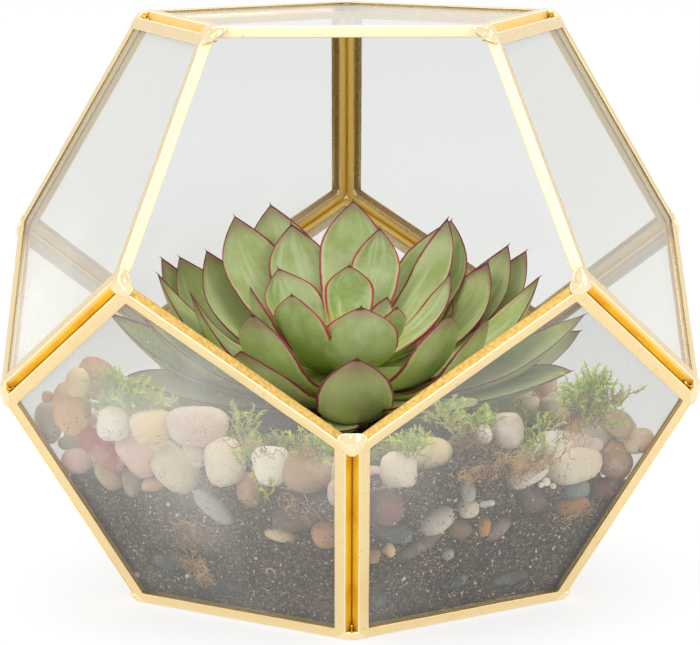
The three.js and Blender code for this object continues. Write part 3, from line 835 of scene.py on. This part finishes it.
for name, (azimuth, stones) in BANKS.items():
    bm = bmesh.new()
    layers = {
        "stone_colour": bm.verts.layers.float_color.new("stone_colour"),
        "foot": bm.verts.layers.float.new("foot"),
    }
    for stone, ball_frame in zip(stones, STONE_FRAMES[name]):
        add_stone(bm, layers, stone, ball_frame, azimuth)
    for stone in spare_stones():
        if abs(azimuth) > 90 or abs(stone[0]) > 18:
            add_stone(bm, layers, stone, stone_frame(stone, azimuth), azimuth)
    add_piece(f"stones_{name}", bm, stone_finish, [f"pebbles_{name}"])

# %% [markdown]
# ## Soil
#
# Through the glass the soil is a dark mix of peat and bark. It lies against the panes up to an uneven line,
# then slopes in between the stones. A stack of pentagon loops is bridged into one skin, whose upper loops
# follow that line. Each point then moves inwards: by noise, in hollows where the soil has come away from
# the glass, and behind every stone, so the stone shows its full outline.

# %% Soil finish
earth = Finish("potting_soil", Roughness=0.95)
lump = earth.clouds(120, 5, 0.7)
fine = earth.clouds(1100, 4, 0.8)
shaded_gaps = earth.cells(620)
earth.surface(
    Base_Color=earth.coats(
        (72, 52, 42),
        (lump.rise(0.35, 0.68), (124, 96, 76)),
        (fine.rise(0.52, 0.6) * 0.85, (188, 160, 136)),
        # Near black between the grains, where the bump sinks lowest: painted shade in the gaps.
        (shaded_gaps.rise(0.3, 0.5) * 0.85, (20, 15, 13)),
    )
)
earth.bump(1 - shaded_gaps + fine, 0.8)

# %% Soil line and hollows
# How high the soil lies against the glass, by azimuth.
SOIL_LINE = [
    (-180, 47), (-110, 46), (-80, 41), (-71, 39.5), (-67, 38), (-60, 37), (-49, 39), (-38, 42), (-34, 46.5),
    (-28, 48.5), (-25, 42), (-19, 45), (-8, 45), (-1, 47), (2, 52.5), (11, 52), (17.5, 53.7), (20.5, 57),
    (27, 57.5), (34, 54.5), (39, 46), (48, 41), (55, 39), (64, 35.5), (69, 34.5), (72, 37.5), (85, 44),
    (110, 46), (180, 47),
]
# Pane, place along it and up it, half width, half height.
HOLLOWS = [
    (-36, -14, 15, 6, 6), (-36, 3, 10, 10, 5), (36, 2, 10, 7, 6), (36, -33, 11, 6, 5), (-36, -30, 14, 4, 5),
]
HOLLOW_DEPTH = 3.5
SOIL_RELIEF = 0.9  # how far the soil's roughness goes in
SIDE_CUTS = 80  # in each side of a loop
SOIL_FLOOR = PANE_DEPTH - FOOT + GAP


def wall_radius(height, inset):
    """The corner radius inside the lower half of the case, a set distance in from the glass."""
    slope = (MID_RADIUS - LOW_RADIUS) / LOW_RADIUS
    return LOW_RADIUS + height * slope - inset / math.cos(FIFTH / 2) / math.cos(FACE_LEAN)


def soil_line(azimuth):
    for (start, low), (end, high) in zip(SOIL_LINE, SOIL_LINE[1:]):
        if azimuth <= end:
            return low + (high - low) * (azimuth - start) / (end - start)
    return SOIL_LINE[-1][1]


def soil_loop(bm, wall_share, slope_share, inset):
    """A loop of the skin, a share of the way up to the soil line, then a share of the way in to the top."""
    bm.edges.ensure_lookup_table()
    before = len(bm.edges)
    ring = bmesh.ops.create_circle(bm, segments=5, radius=1)["verts"]
    first = math.atan2(ring[0].co.y, ring[0].co.x)
    to_front = Matrix.Rotation(-math.pi / 2 - first, 3, "Z")
    bmesh.ops.rotate(bm, verts=ring, cent=(0, 0, 0), matrix=to_front)
    bm.edges.ensure_lookup_table()
    bmesh.ops.subdivide_edges(bm, edges=bm.edges[before:], cuts=SIDE_CUTS)
    bm.edges.ensure_lookup_table()
    for vert in {vert for edge in bm.edges[before:] for vert in edge.verts}:
        line = soil_line(math.degrees(math.atan2(vert.co.x, -vert.co.y)))
        line += 2.0 * noise.noise(vert.co * 9) + 1.2 * noise.noise(vert.co * 31)
        height = SOIL_FLOOR + wall_share * (line - SOIL_FLOOR)
        height += slope_share * (SOIL_TOP - height)
        vert.co = vert.co * wall_radius(height, inset) + Vector((0, 0, height))
    return bm.edges[before:]


# %% Soil body
WALL_ROWS = 38
SLOPE_ROWS = 12
SLOPE_WIDTH = 20
TOP_INSETS = range(24, 66, 2)  # how far in the loops of the level top are
BEHIND_STONE = -0.2  # where the skin lies behind a stone, as a share of its depth
STONE_EDGE = 0.25  # how far past a stone's outline it comes forward again
bm = bmesh.new()
loops = [soil_loop(bm, i / WALL_ROWS, 0, GAP) for i in range(WALL_ROWS + 1)]
for i in range(1, SLOPE_ROWS + 1):
    share = i / SLOPE_ROWS
    loops.append(soil_loop(bm, 1, share**1.5, GAP + share * SLOPE_WIDTH))
for inset in TOP_INSETS:
    loops.append(soil_loop(bm, 1, 1, inset))
for first, second in zip(loops, loops[1:]):
    bmesh.ops.bridge_loops(bm, edges=first + second)
bmesh.ops.holes_fill(bm, edges=loops[0] + loops[-1])
bmesh.ops.recalc_face_normals(bm, faces=bm.faces)
bm.normal_update()


def hollow_at(place, hollow):
    """How far the soil has come away from the glass at a place, from 0 to 1."""
    azimuth, along, height, half_width, half_height = hollow
    local = on_pane(azimuth, along, height, 0).inverted() @ place
    off = math.hypot(local.x / half_width, local.y / half_height) + 0.5 * noise.noise(place * 0.3)
    return 0.0 if abs(local.z) > 4 else max(0.0, 1 - off)


nearest = {name: math.radians(azimuth) for name, (azimuth, stones) in BANKS.items()}
frames = {
    name: [(ball_frame, ball_frame.inverted()) for ball_frame in STONE_FRAMES[name]] for name in BANKS
}
for vert in bm.verts:
    rough = abs(noise.fractal(vert.co * 0.25, 0.9, 2.0, 4))
    hollow = sum(min(1.0, 3 * hollow_at(vert.co, spot)) for spot in HOLLOWS)
    vert.co -= vert.normal * (SOIL_RELIEF * rough + HOLLOW_DEPTH * min(1.0, hollow))
    azimuth = math.atan2(vert.co.x, -vert.co.y)
    bank = max(nearest, key=lambda name: math.cos(nearest[name] - azimuth))
    for ball_frame, into in frames[bank]:
        local = into @ vert.co
        off = math.hypot(local.x, local.y)
        if local.z > BEHIND_STONE and off < 1 + STONE_EDGE:
            kept = max(0.0, (off - 1.0) / STONE_EDGE)
            local.z = BEHIND_STONE + (local.z - BEHIND_STONE) * kept
            vert.co = ball_frame @ local
add_piece("soil_body", bm, earth, ["soil"])

# %% [markdown]
# Root fibres, crumbs and perlite lie between the soil and the glass. A fibre is a thin three-sided tube with
# a few bends. Four of them are made once, and hundreds of turned copies are sown: in loose mats where the
# photo shows them, and thinly everywhere else. Crumbs of six colours and perlite are rough balls, made once
# too.

# %% Fibre and grain templates
FIBRE_LENGTH = 8


def fibre(seed):
    """A bent fibre."""
    bm = bmesh.new()
    bmesh.ops.create_cone(bm, segments=3, radius1=0.24, radius2=0.1, depth=FIBRE_LENGTH, cap_ends=True)
    bmesh.ops.rotate(bm, verts=bm.verts, cent=(0, 0, 0), matrix=Matrix.Rotation(math.pi / 2, 3, "Y"))
    bmesh.ops.subdivide_edges(bm, edges=edges_over(bm, FIBRE_LENGTH / 2), cuts=8)
    for vert in bm.verts:
        bend = noise.noise_vector(Vector((vert.co.x * 0.28, seed, 0)))
        vert.co += Vector((0.6 * bend.x, 3.2 * bend.y, 0.4 * bend.z))
    return template_of(bm, f"fibre_{seed}")


fibres = [fibre(seed * 3.7) for seed in range(4)]


def crumb(name, seed, colour):
    """A rough grain 1 mm across, which carries its colour."""
    bm = bmesh.new()
    layer = bm.verts.layers.float_color.new("crumb_colour")
    bmesh.ops.create_icosphere(bm, subdivisions=1, radius=0.5)
    for vert in bm.verts:
        vert.co *= 1 + 0.6 * noise.noise(vert.co * 3 + Vector((seed, 0, 0)))
        vert[layer] = paint(*colour)
    return template_of(bm, name)


grain = crumb("perlite_grain", 0, (240, 236, 228))
CRUMB_COLOURS = [(46, 34, 28), (28, 22, 20), (98, 74, 60), (138, 106, 84), (178, 144, 118), (224, 204, 182)]
CRUMB_SHARES = (4, 3, 4, 4, 4, 2.2)
crumbs = [crumb(f"crumb_{i}", 5 + i, colour) for i, colour in enumerate(CRUMB_COLOURS)]
print("faces in a fibre and a crumb:", len(fibres[0].polygons), len(grain.polygons))

# %% Fibre mats
# Each mat: pane, place along it and height, half its width and height, fibres in it.
MATS = [
    (-36, -11, 26, 8, 5, 210), (-36, -15, 13, 6, 5, 80), (-36, 34, 42, 8, 5, 30), (-36, 26, 60, 9, 3, 22),
    (36, -10, 51, 9, 4, 130), (36, 4, 50, 14, 4, 170), (36, 38, 28, 8, 4, 30),
]
# Mats behind the stones: pane, place, half width and height, fibres, depth.
DEEP_MATS = [(36, 32, 58, 9, 6, 170, 7), (36, -8, 54, 12, 5, 120, 6), (-36, 38, 52, 8, 6, 60, 7)]
LOOSE_FIBRES = 90  # on each pane
PANE_NAMES = {azimuth: name for name, (azimuth, stones) in BANKS.items()}
root_fibre = Finish("root_fibre", Roughness=0.8)
shade = root_fibre.clouds(130)
root_fibre.surface(
    Base_Color=root_fibre.mix(shade.rise(0.36, 0.62), (150, 104, 72), (232, 190, 130))
)


def half_side(height):
    """Half the inner width of a lower pane at a height."""
    return 0.96 * wall_radius(height, GAP) * math.sin(FIFTH / 2)


def turned(axis, least, most):
    """A turn about an axis by a random angle."""
    return Matrix.Rotation(random.uniform(least, most), 4, axis)


def strewn(azimuth, along, height, wide, tall):
    """A random place near a pane's spot: its azimuth, place along the pane and height."""
    return azimuth, random.gauss(along, wide / 2), random.gauss(height, tall / 2)


def sow_fibre(bm, place, least, most):
    sown(random.choice(fibres), place @ Matrix.Scale(random.uniform(least, most), 4), bm)


random.seed(21)
bm = bmesh.new()
for *mat, count in MATS:
    for _ in range(count):
        spot = on_pane(*strewn(*mat), random.uniform(0.05, 0.4))
        sow_fibre(bm, spot @ turned("Z", 0, math.tau), 0.5, 1.0)
for *mat, count, depth in DEEP_MATS:
    for _ in range(count):
        spot = on_pane(*strewn(*mat), depth)
        sow_fibre(bm, spot @ turned("Z", 0, 6) @ turned("X", -1, 1), 0.5, 1.0)
for azimuth in PANE_NAMES:
    for _ in range(LOOSE_FIBRES):
        height = random.uniform(5, 46)
        along = random.uniform(-1, 1) * half_side(height) * 0.94
        spot = on_pane(azimuth, along, height, random.uniform(0.1, 0.5))
        sow_fibre(bm, spot @ turned("Z", 0, math.tau), 0.2, 0.5)
add_piece("root_fibres", bm, root_fibre)

# %% Crumbs against the glass
crumb_finish = Finish("soil_crumb", Roughness=0.9)
crumb_finish.surface(
    Base_Color=crumb_finish.mix(
        crumb_finish.clouds(800).rise(0.4, 0.7) * 0.5,
        crumb_finish.attribute("crumb_colour", "Color"),
        (110, 88, 70),
    )
)
FRONT_CRUMBS, SIDE_CRUMBS, PERLITE_GRAINS = 7600, 1600, 170  # on each pane
BEFORE_STONES = 0.06  # the share of the crumbs before a stone that stays
STONE_REACH = 0.96  # of a stone's half size, within which a crumb is before it
CRUMB_SIZES = (0.28, 0.62, 3)  # the least, how much more, and a power: a higher one makes large ones rarer
GRAIN_SIZES = (0.3, 1.0, 5)
CRUMBS_TOP, GRAINS_TOP = 56, 52


def on_a_stone(place, bank):
    return any(
        math.hypot(local.x, local.y) < STONE_REACH
        for local in (into @ place for ball_frame, into in frames[bank])
    )


def grain_size(least, more, power):
    return least + more * random.random() ** power


def sow_crumb(bm, azimuth, template, size, highest):
    """One crumb at a random spot of a pane, as high as the soil, and seldom before a stone."""
    height = random.uniform(2, highest)
    along = random.uniform(-1, 1) * half_side(height) * 0.97
    spot = on_pane(azimuth, along, height, 0.3 * size)
    place = spot.to_translation()
    line = soil_line(math.degrees(math.atan2(place.x, -place.y)))
    if height > line or (on_a_stone(place, PANE_NAMES[azimuth]) and random.random() > BEFORE_STONES):
        return
    sown(template, spot @ turned("Z", 0, 6) @ turned("X", 0, 6) @ Matrix.Scale(size, 4), bm)


for azimuth, name in PANE_NAMES.items():
    bm = bmesh.new()
    bm.verts.layers.float_color.new("crumb_colour")
    for _ in range(FRONT_CRUMBS if abs(azimuth) < 90 else SIDE_CRUMBS):
        size = grain_size(*CRUMB_SIZES)
        sow_crumb(bm, azimuth, random.choices(crumbs, CRUMB_SHARES)[0], size, CRUMBS_TOP)
    add_piece(f"soil_crumbs_{name}", bm, crumb_finish, smooth=False)

# %% Perlite
LARGE_GRAINS = {  # by pane: place along it and up it, and size
    -36: ((-40.5, 7, 3), (-16, 35.5, 1.8), (-19, 10, 2), (-14, 32, 1.5), (12, 21, 1.4)),
    36: ((-26, 16, 1.8), (-16, 41, 1.4), (10, 19, 1.2), (-37, 7, 1.6), (33, 21, 1.2)),
}
RING_GRAINS = 12  # small ones round one spot
RING_RADIUS = 1.7
perlite_finish = Finish("perlite", Roughness=0.85)
perlite_finish.surface(
    Base_Color=perlite_finish.mix(perlite_finish.clouds(900), (246, 243, 236), (214, 206, 194))
)
bm = bmesh.new()
bm.verts.layers.float_color.new("crumb_colour")
for azimuth in PANE_NAMES:
    for _ in range(PERLITE_GRAINS):
        sow_crumb(bm, azimuth, grain, grain_size(*GRAIN_SIZES), GRAINS_TOP)
for azimuth, grains in LARGE_GRAINS.items():
    for along, height, size in grains:
        sown(grain, on_pane(azimuth, along, height, 0.4) @ Matrix.Scale(size, 4), bm)
for i in range(RING_GRAINS):
    spin = Matrix.Rotation(math.tau * i / RING_GRAINS, 4, "Z")
    ring = spin @ Matrix.Translation((RING_RADIUS, 0, 0)) @ Matrix.Scale(0.9, 4)
    sown(grain, on_pane(-36, 15.6, 16.5, 0.5) @ ring, bm)
add_piece("perlite_grains", bm, perlite_finish)

# %% [markdown]
# ## Rosette
#
# The plant is a rosette of fleshy, cupped leaves with a crimson margin and a dark spine at the tip. Each
# leaf is a ball drawn out along its length: flat above, full below, its edges raised, and curled up
# towards the tip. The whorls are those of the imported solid, with one more small leaf. Every vertex
# remembers how far it is from the margin and along the leaf, and the finish draws its colours from that.

# %% Leaf places
# Azimuth, elevation, length, width and bend of each leaf, by whorl, under the height that it grows from.
WHORLS = {
    71: [(179, 68, 31, 16, 0.25), (138, 44, 26, 9, 0.3), (33, 37, 34, 15, 0.4)],
    68: [(158, 57, 50, 17, 0.3), (-130, 45, 42, 22, 0.3), (6, 37, 42, 25, 0.6), (-30, 39, 46, 22, 0.5)],
    66: [
        (177, 57, 62, 22, 0.3), (-150, 50, 58, 23, 0.3), (126, 34, 48, 19, 0.35),
        (100, 44, 46, 13, 0.35), (-54, 40, 50, 16, 0.4), (-125, 31, 52, 18, 0.35),
    ],
    64: [
        (128, 50, 64, 15, 0.3), (136, 44, 68, 26, 0.3), (-127, 47, 68, 26, 0.3), (-147, 48, 70, 26, 0.3),
        (112, 31, 56, 21, 0.35), (41, 30, 54, 25, 0.55), (-38, 30, 56, 27, 0.6),
    ],
    61: [
        (2, 20, 58, 24, 0.65), (110, 39, 62, 24, 0.35), (-114, 40, 66, 24, 0.35), (-118, 32, 74, 26, 0.35),
        (115, 37, 72, 23, 0.35), (51, 28, 62, 25, 0.5), (-68, 33, 64, 25, 0.45), (114, 33, 76, 23, 0.35),
        (79, 32, 72, 27, 0.4), (-115, 30, 78, 20, 0.35), (-76, 33, 74, 23, 0.4),
    ],
    60: [(azimuth, 33, 74, 25, 0.35) for azimuth in (152, 176, 200)],
    58: [(70, 22, 84, 28, 0.26), (-74, 22, 84, 28, 0.26), (-64, 24, 78, 28, 0.26), (-33, 22, 66, 25, 0.3)],
    57: [
        (61, 12, 80, 26, 0.12), (-62, 11, 80, 25, 0.12), (33, 8, 70, 23, 0.12),
        (25, 10, 62, 18, 0.12), (-6, 2, 60, 15, 0.1),
        *((azimuth, 16, 78, 27, 0.2) for azimuth in (96, 122, 148, 174, 200, 226, 252)),
    ],
}

# %% Leaf shape
LEAF_ROUND = 24
LEAF_ROWS = 28
LEAF_THICKNESS = 4.6
LEAF_CUP = 0.22  # how far its edges are raised, as a share of its half width
LEAF_ROOT = 4.0  # how far from the middle it starts
WIDEST = 0.7  # where it is widest, as a share of its length
SHOULDER = 2.2  # a higher power gives a blunter tip
HEART_TILT = 16  # degrees by which a leaf at the side turns its face to the front
LEAF_FACTS = ("rim", "along", "across", "under", "age", "own")  # what each vertex remembers
SPINE = 1.3  # the dark point at a leaf's tip


def leaf_half_width(s, bend):
    """Half the width at a share of the length, for a leaf 1 wide: a leaf that bends more is blunter."""
    if s < WIDEST:
        return 0.5 * (0.44 + 0.56 * math.sin(math.pi / 2 * s / WIDEST))
    return 0.5 * (1 - ((s - WIDEST) / (1 - WIDEST)) ** (SHOULDER + 5 * max(0, bend - 0.35)))


def leaf_thickness(s):
    return LEAF_THICKNESS * (1 - 0.6 * s) * min(1, 3 * (1 - s) + 0.05)


def grow_leaf(bm, layers, leaf, height, age):
    """One leaf of an age from 0, in the heart, to 1, next to the soil."""
    azimuth, elevation, length, width, bend = leaf
    lean = math.radians(elevation)
    roll = math.radians(-HEART_TILT * math.sin(math.radians(azimuth)))
    spin = Matrix.Rotation(math.radians(azimuth), 3, "Z")
    seed = Vector((azimuth * 0.37, length, height))
    made = bmesh.ops.create_uvsphere(bm, u_segments=LEAF_ROUND, v_segments=LEAF_ROWS, radius=1)["verts"]
    for vert in made:
        s = (vert.co.z + 1) / 2
        belt = math.sqrt(max(1e-6, 1 - vert.co.z**2))
        over = vert.co.y / belt
        share = 0.25 if over > 0 else 0.75
        half = width * leaf_half_width(s, bend)
        across_unit = max(-1.0, min(1.0, vert.co.x / belt))
        if belt < 0.01:
            across_unit, over = 0.0, 0.0
        side = across_unit * half
        wave = 0.5 * across_unit**2 * s * noise.noise(Vector((s * 5, across_unit * 2, 0)) + seed)
        rise = math.copysign(abs(over) ** 1.25, over) * share * leaf_thickness(s)
        rise += LEAF_CUP * side**2 / max(half, 1e-6) + wave
        across = side * math.cos(roll) + rise * math.sin(roll)
        up = rise * math.cos(roll) - side * math.sin(roll)
        sag = length * bend * (s**3 - s)
        turn = lean + math.atan(bend * (3 * s * s - 1))
        out = LEAF_ROOT + (length - LEAF_ROOT) * s
        if s > 0.999:
            out += SPINE
        vert.co = spin @ Vector((
            across,
            up * math.sin(turn) + sag * math.sin(lean) - out * math.cos(lean),
            out * math.sin(lean) + sag * math.cos(lean) + up * math.cos(turn),
        )) + Vector((0, HEART_BACK, height))
        tip_room = (1 - s) * length * 0.8
        rim = min(half * (1 - abs(across_unit)), tip_room)
        facts = (rim, s, across_unit, 0.0 if over > 0 else 1.0, age, (azimuth * 0.618) % 1.0)
        for layer, fact in zip(layers, facts):
            vert[layer] = fact


# %% Leaf finish
leaf_finish = Finish(
    "succulent_leaf", Subsurface_Weight=0.12, Subsurface_Scale=0.003, Subsurface_Radius=(0.6, 1.0, 0.3)
)
rim, along, across, under, age, own = (leaf_finish.attribute(name) for name in LEAF_FACTS)
bloom = leaf_finish.clouds(55, 4, 0.6)
fine_bloom = leaf_finish.clouds(380, 3, 0.6)
drawn = leaf_finish.node("ShaderNodeCombineXYZ", {}, {0: across * 2.4, 1: along * 1.6, 2: own * 17})
streak = leaf_finish.clouds(1.5, 3.0, 0.5, drawn)
powder = bloom.rise(0.36, 0.62) * 0.62 * along.rise(0.2, 0.7)
uneven = leaf_finish.clouds(170)
edge = (rim + 0.9 * uneven).rise(1.35, 0.95) * along.rise(0.2, 0.45)
flush = rim.rise(3.4, 0.5) * along.rise(0.72, 1.0) * (0.35 + 0.5 * own)
crimson = leaf_finish.mix((age * 1.6).rise(0.2, 1.0), (178, 52, 70), (122, 38, 56))
leaf_finish.surface(
    Base_Color=leaf_finish.coats(
        (176, 188, 72),
        (along.rise(0.1, 0.75), (142, 164, 84)),
        (streak.rise(0.5, 0.72) * 0.6, (112, 140, 62)),
        (streak.rise(0.5, 0.34) * 0.75 * (1 - under), (186, 204, 162)),
        (under * along.rise(0.9, 0.3) * 0.75, (156, 178, 48)),
        (powder, (196, 210, 168)),
        (fine_bloom.rise(0.5, 0.75) * 0.25, (196, 206, 172)),
        (age * 0.6, (186, 192, 126)),
        (rim.rise(2.0, 1.1) * along.rise(0.3, 0.6) * 0.45, (214, 208, 150)),
        (flush, (138, 88, 94)),
        (along.rise(0.86, 1.0) * age.rise(0.1, 0.5) * 0.6, (118, 66, 64)),
        (edge, leaf_finish.mix(along.rise(0.88, 1.0), crimson, (92, 30, 44))),
    ),
    Roughness=0.42 + 0.2 * bloom,
)
leaf_finish.bump(fine_bloom, 0.05)

# %% Rosette
bm = bmesh.new()
layers = [bm.verts.layers.float.new(name) for name in LEAF_FACTS]
for height, leaves in WHORLS.items():
    for leaf in leaves:
        grow_leaf(bm, layers, leaf, height, (71 - height) / 14)
bmesh.ops.recalc_face_normals(bm, faces=bm.faces)
add_piece("rosette_leaves", bm, leaf_finish, ["rosette"])

# %% Stem
bark = Finish("stem_bark", Roughness=0.8)
bark.surface(Base_Color=bark.mix(bark.clouds(300), (92, 84, 58), (140, 128, 96)))
bark.bump(bark.clouds(400), 0.4)
STEM_LOOPS = ((6, 24), (6, 50.5), (9, 54), (9, 66), (4, 74))  # radius and height
STEM_ROUND = 24
bm = bmesh.new()
for radius, height in STEM_LOOPS:
    bmesh.ops.create_circle(bm, segments=STEM_ROUND, radius=radius)
    bm.verts.ensure_lookup_table()
    bmesh.ops.translate(bm, verts=bm.verts[-STEM_ROUND:], vec=(0, HEART_BACK, height))
bmesh.ops.bridge_loops(bm, edges=bm.edges)
bmesh.ops.holes_fill(bm, edges=bm.edges)
bmesh.ops.recalc_face_normals(bm, faces=bm.faces)
add_piece("rosette_stem", bm, bark)

# %% [markdown]
# ## Moss
#
# The moss is a lace of bright green sprigs over tan roots. One sprig is a thin bent stem with short
# leaflets. It has only a few dozen faces, because hundreds of copies are sown, each turned and scaled.

# %% Moss sprig
moss_finish = Finish("moss", Roughness=0.7)
tip_light = moss_finish.attribute("tip_light")
dry = moss_finish.clouds(60, 3).rise(0.5, 0.68)
# From dark green at a sprig's foot to bright lime at its tip: painted shade low in the tuft and a painted
# highlight on the tips.
lime = moss_finish.mix(tip_light, (120, 148, 44), (212, 228, 96))
moss_finish.surface(Base_Color=moss_finish.mix(dry * 0.6, lime, (206, 176, 110)))

SPRIG_LENGTH = 8
LEAFLETS = 12
bm = bmesh.new()
tip_light_layer = bm.verts.layers.float.new("tip_light")
bmesh.ops.create_cone(bm, segments=3, radius1=0.26, radius2=0.14, depth=SPRIG_LENGTH, cap_ends=True)
bmesh.ops.translate(bm, verts=bm.verts, vec=(0, 0, SPRIG_LENGTH / 2))
bmesh.ops.subdivide_edges(bm, edges=edges_over(bm, SPRIG_LENGTH / 2), cuts=4)
for i in range(LEAFLETS):
    leaflet = bmesh.ops.create_cone(bm, segments=3, radius1=0.36, radius2=0.03, depth=1.6)["verts"]
    bmesh.ops.translate(bm, verts=leaflet, vec=(0, 0, 0.8))
    pose = Matrix.Rotation(i * 2.4, 3, "Z") @ Matrix.Rotation(0.9, 3, "Y")
    bmesh.ops.rotate(bm, verts=leaflet, cent=(0, 0, 0), matrix=pose)
    bmesh.ops.translate(bm, verts=leaflet, vec=(0, 0, 1.6 + 5.8 * i / LEAFLETS))
for vert in bm.verts:
    # 0 at a sprig's foot, in painted shade, to 1 at its tip, in painted light.
    vert[tip_light_layer] = min(1.0, vert.co.z / SPRIG_LENGTH)
    vert.co.x += 0.035 * vert.co.z**2
    vert.co.y += 0.5 * math.sin(vert.co.z * 0.9)
sprig = template_of(bm, "moss_sprig")
print("faces in a sprig:", len(sprig.polygons))

# %% Moss tufts
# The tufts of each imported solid: pane, place along it and up it, depth, half width, half height, sprigs.
TUFTS = {
    "front_left": [
        (-36, -24, 63.5, 8, 6, 4, 80), (-36, -30, 66.5, 8, 5, 4, 50), (-36, -33, 61, 8, 4, 4, 50),
        (-36, -19, 61, 10, 4, 4, 36),
    ],
    "front_near_left": [
        (-36, 18, 60, 7, 4, 5, 24), (-36, 40, 55, 9, 4, 4, 30), (-36, 17, 50, 6, 2, 6, 12),
        (-36, 26, 45.5, 1, 3, 2, 16),
    ],
    "front_near_right": [
        (36, -37, 57, 5, 4, 3, 34), (36, -20, 60, 12, 3, 4, 18), (36, -9, 57, 10, 6, 4, 56),
    ],
    "front_right": [
        (36, 31, 64, 8, 6, 6, 100), (36, 25, 61, 8, 3, 5, 26), (36, 41, 61, 6, 5, 4, 26),
        (36, 12, 53, 4, 5, 6, 28), (36, 33, 57, 6, 6, 5, 14),
    ],
    "back": [(180, 10, 58, 9, 9, 5, 90)],
}
VIEW_LEAN = 0.35  # the sprigs bend towards the light


def sow_sprigs(bm, spot, wide, tall, count):
    """Sprigs that fan out from a spot."""
    for _ in range(count):
        x, y = random.gauss(0, 0.5), random.gauss(0, 0.5)
        place = spot @ Matrix.Translation((x * wide, y * tall, random.gauss(0, 1.5)))
        fan = Matrix.Rotation(-1.3 * x + random.uniform(-0.7, 0.7), 4, "Z")
        lean = Matrix.Rotation(random.uniform(-1.0, VIEW_LEAN) - math.pi / 2, 4, "X")
        twist = turned("Z", 0, math.tau)
        sown(sprig, place @ fan @ lean @ twist @ Matrix.Scale(random.uniform(0.45, 0.95), 4), bm)


random.seed(3)
for name, tufts in TUFTS.items():
    bm = bmesh.new()
    bm.verts.layers.float.new("tip_light")
    for azimuth, along, height, depth, wide, tall, count in tufts:
        sow_sprigs(bm, on_pane(azimuth, along, height, depth), wide, tall, count)
    add_piece(f"moss_sprigs_{name}", bm, moss_finish, [f"moss_{name}"], smooth=False)

# %% Moss carpet
CARPET_PATCHES = 110
CARPET_EDGE = (12, 32)  # how far in from the glass the patches are
bm = bmesh.new()
bm.verts.layers.float.new("tip_light")
for _ in range(CARPET_PATCHES):
    azimuth = random.uniform(-180, 180)
    radius = wall_radius(52, random.uniform(*CARPET_EDGE)) * math.cos(FIFTH / 2)
    foot = Matrix.Translation(around(radius, azimuth, 50)) @ Matrix.Rotation(math.radians(azimuth), 4, "Z")
    sow_sprigs(bm, foot @ Matrix.Rotation(math.pi / 2, 4, "X"), random.uniform(4, 8), 1, 12)
add_piece("moss_carpet", bm, moss_finish, smooth=False)
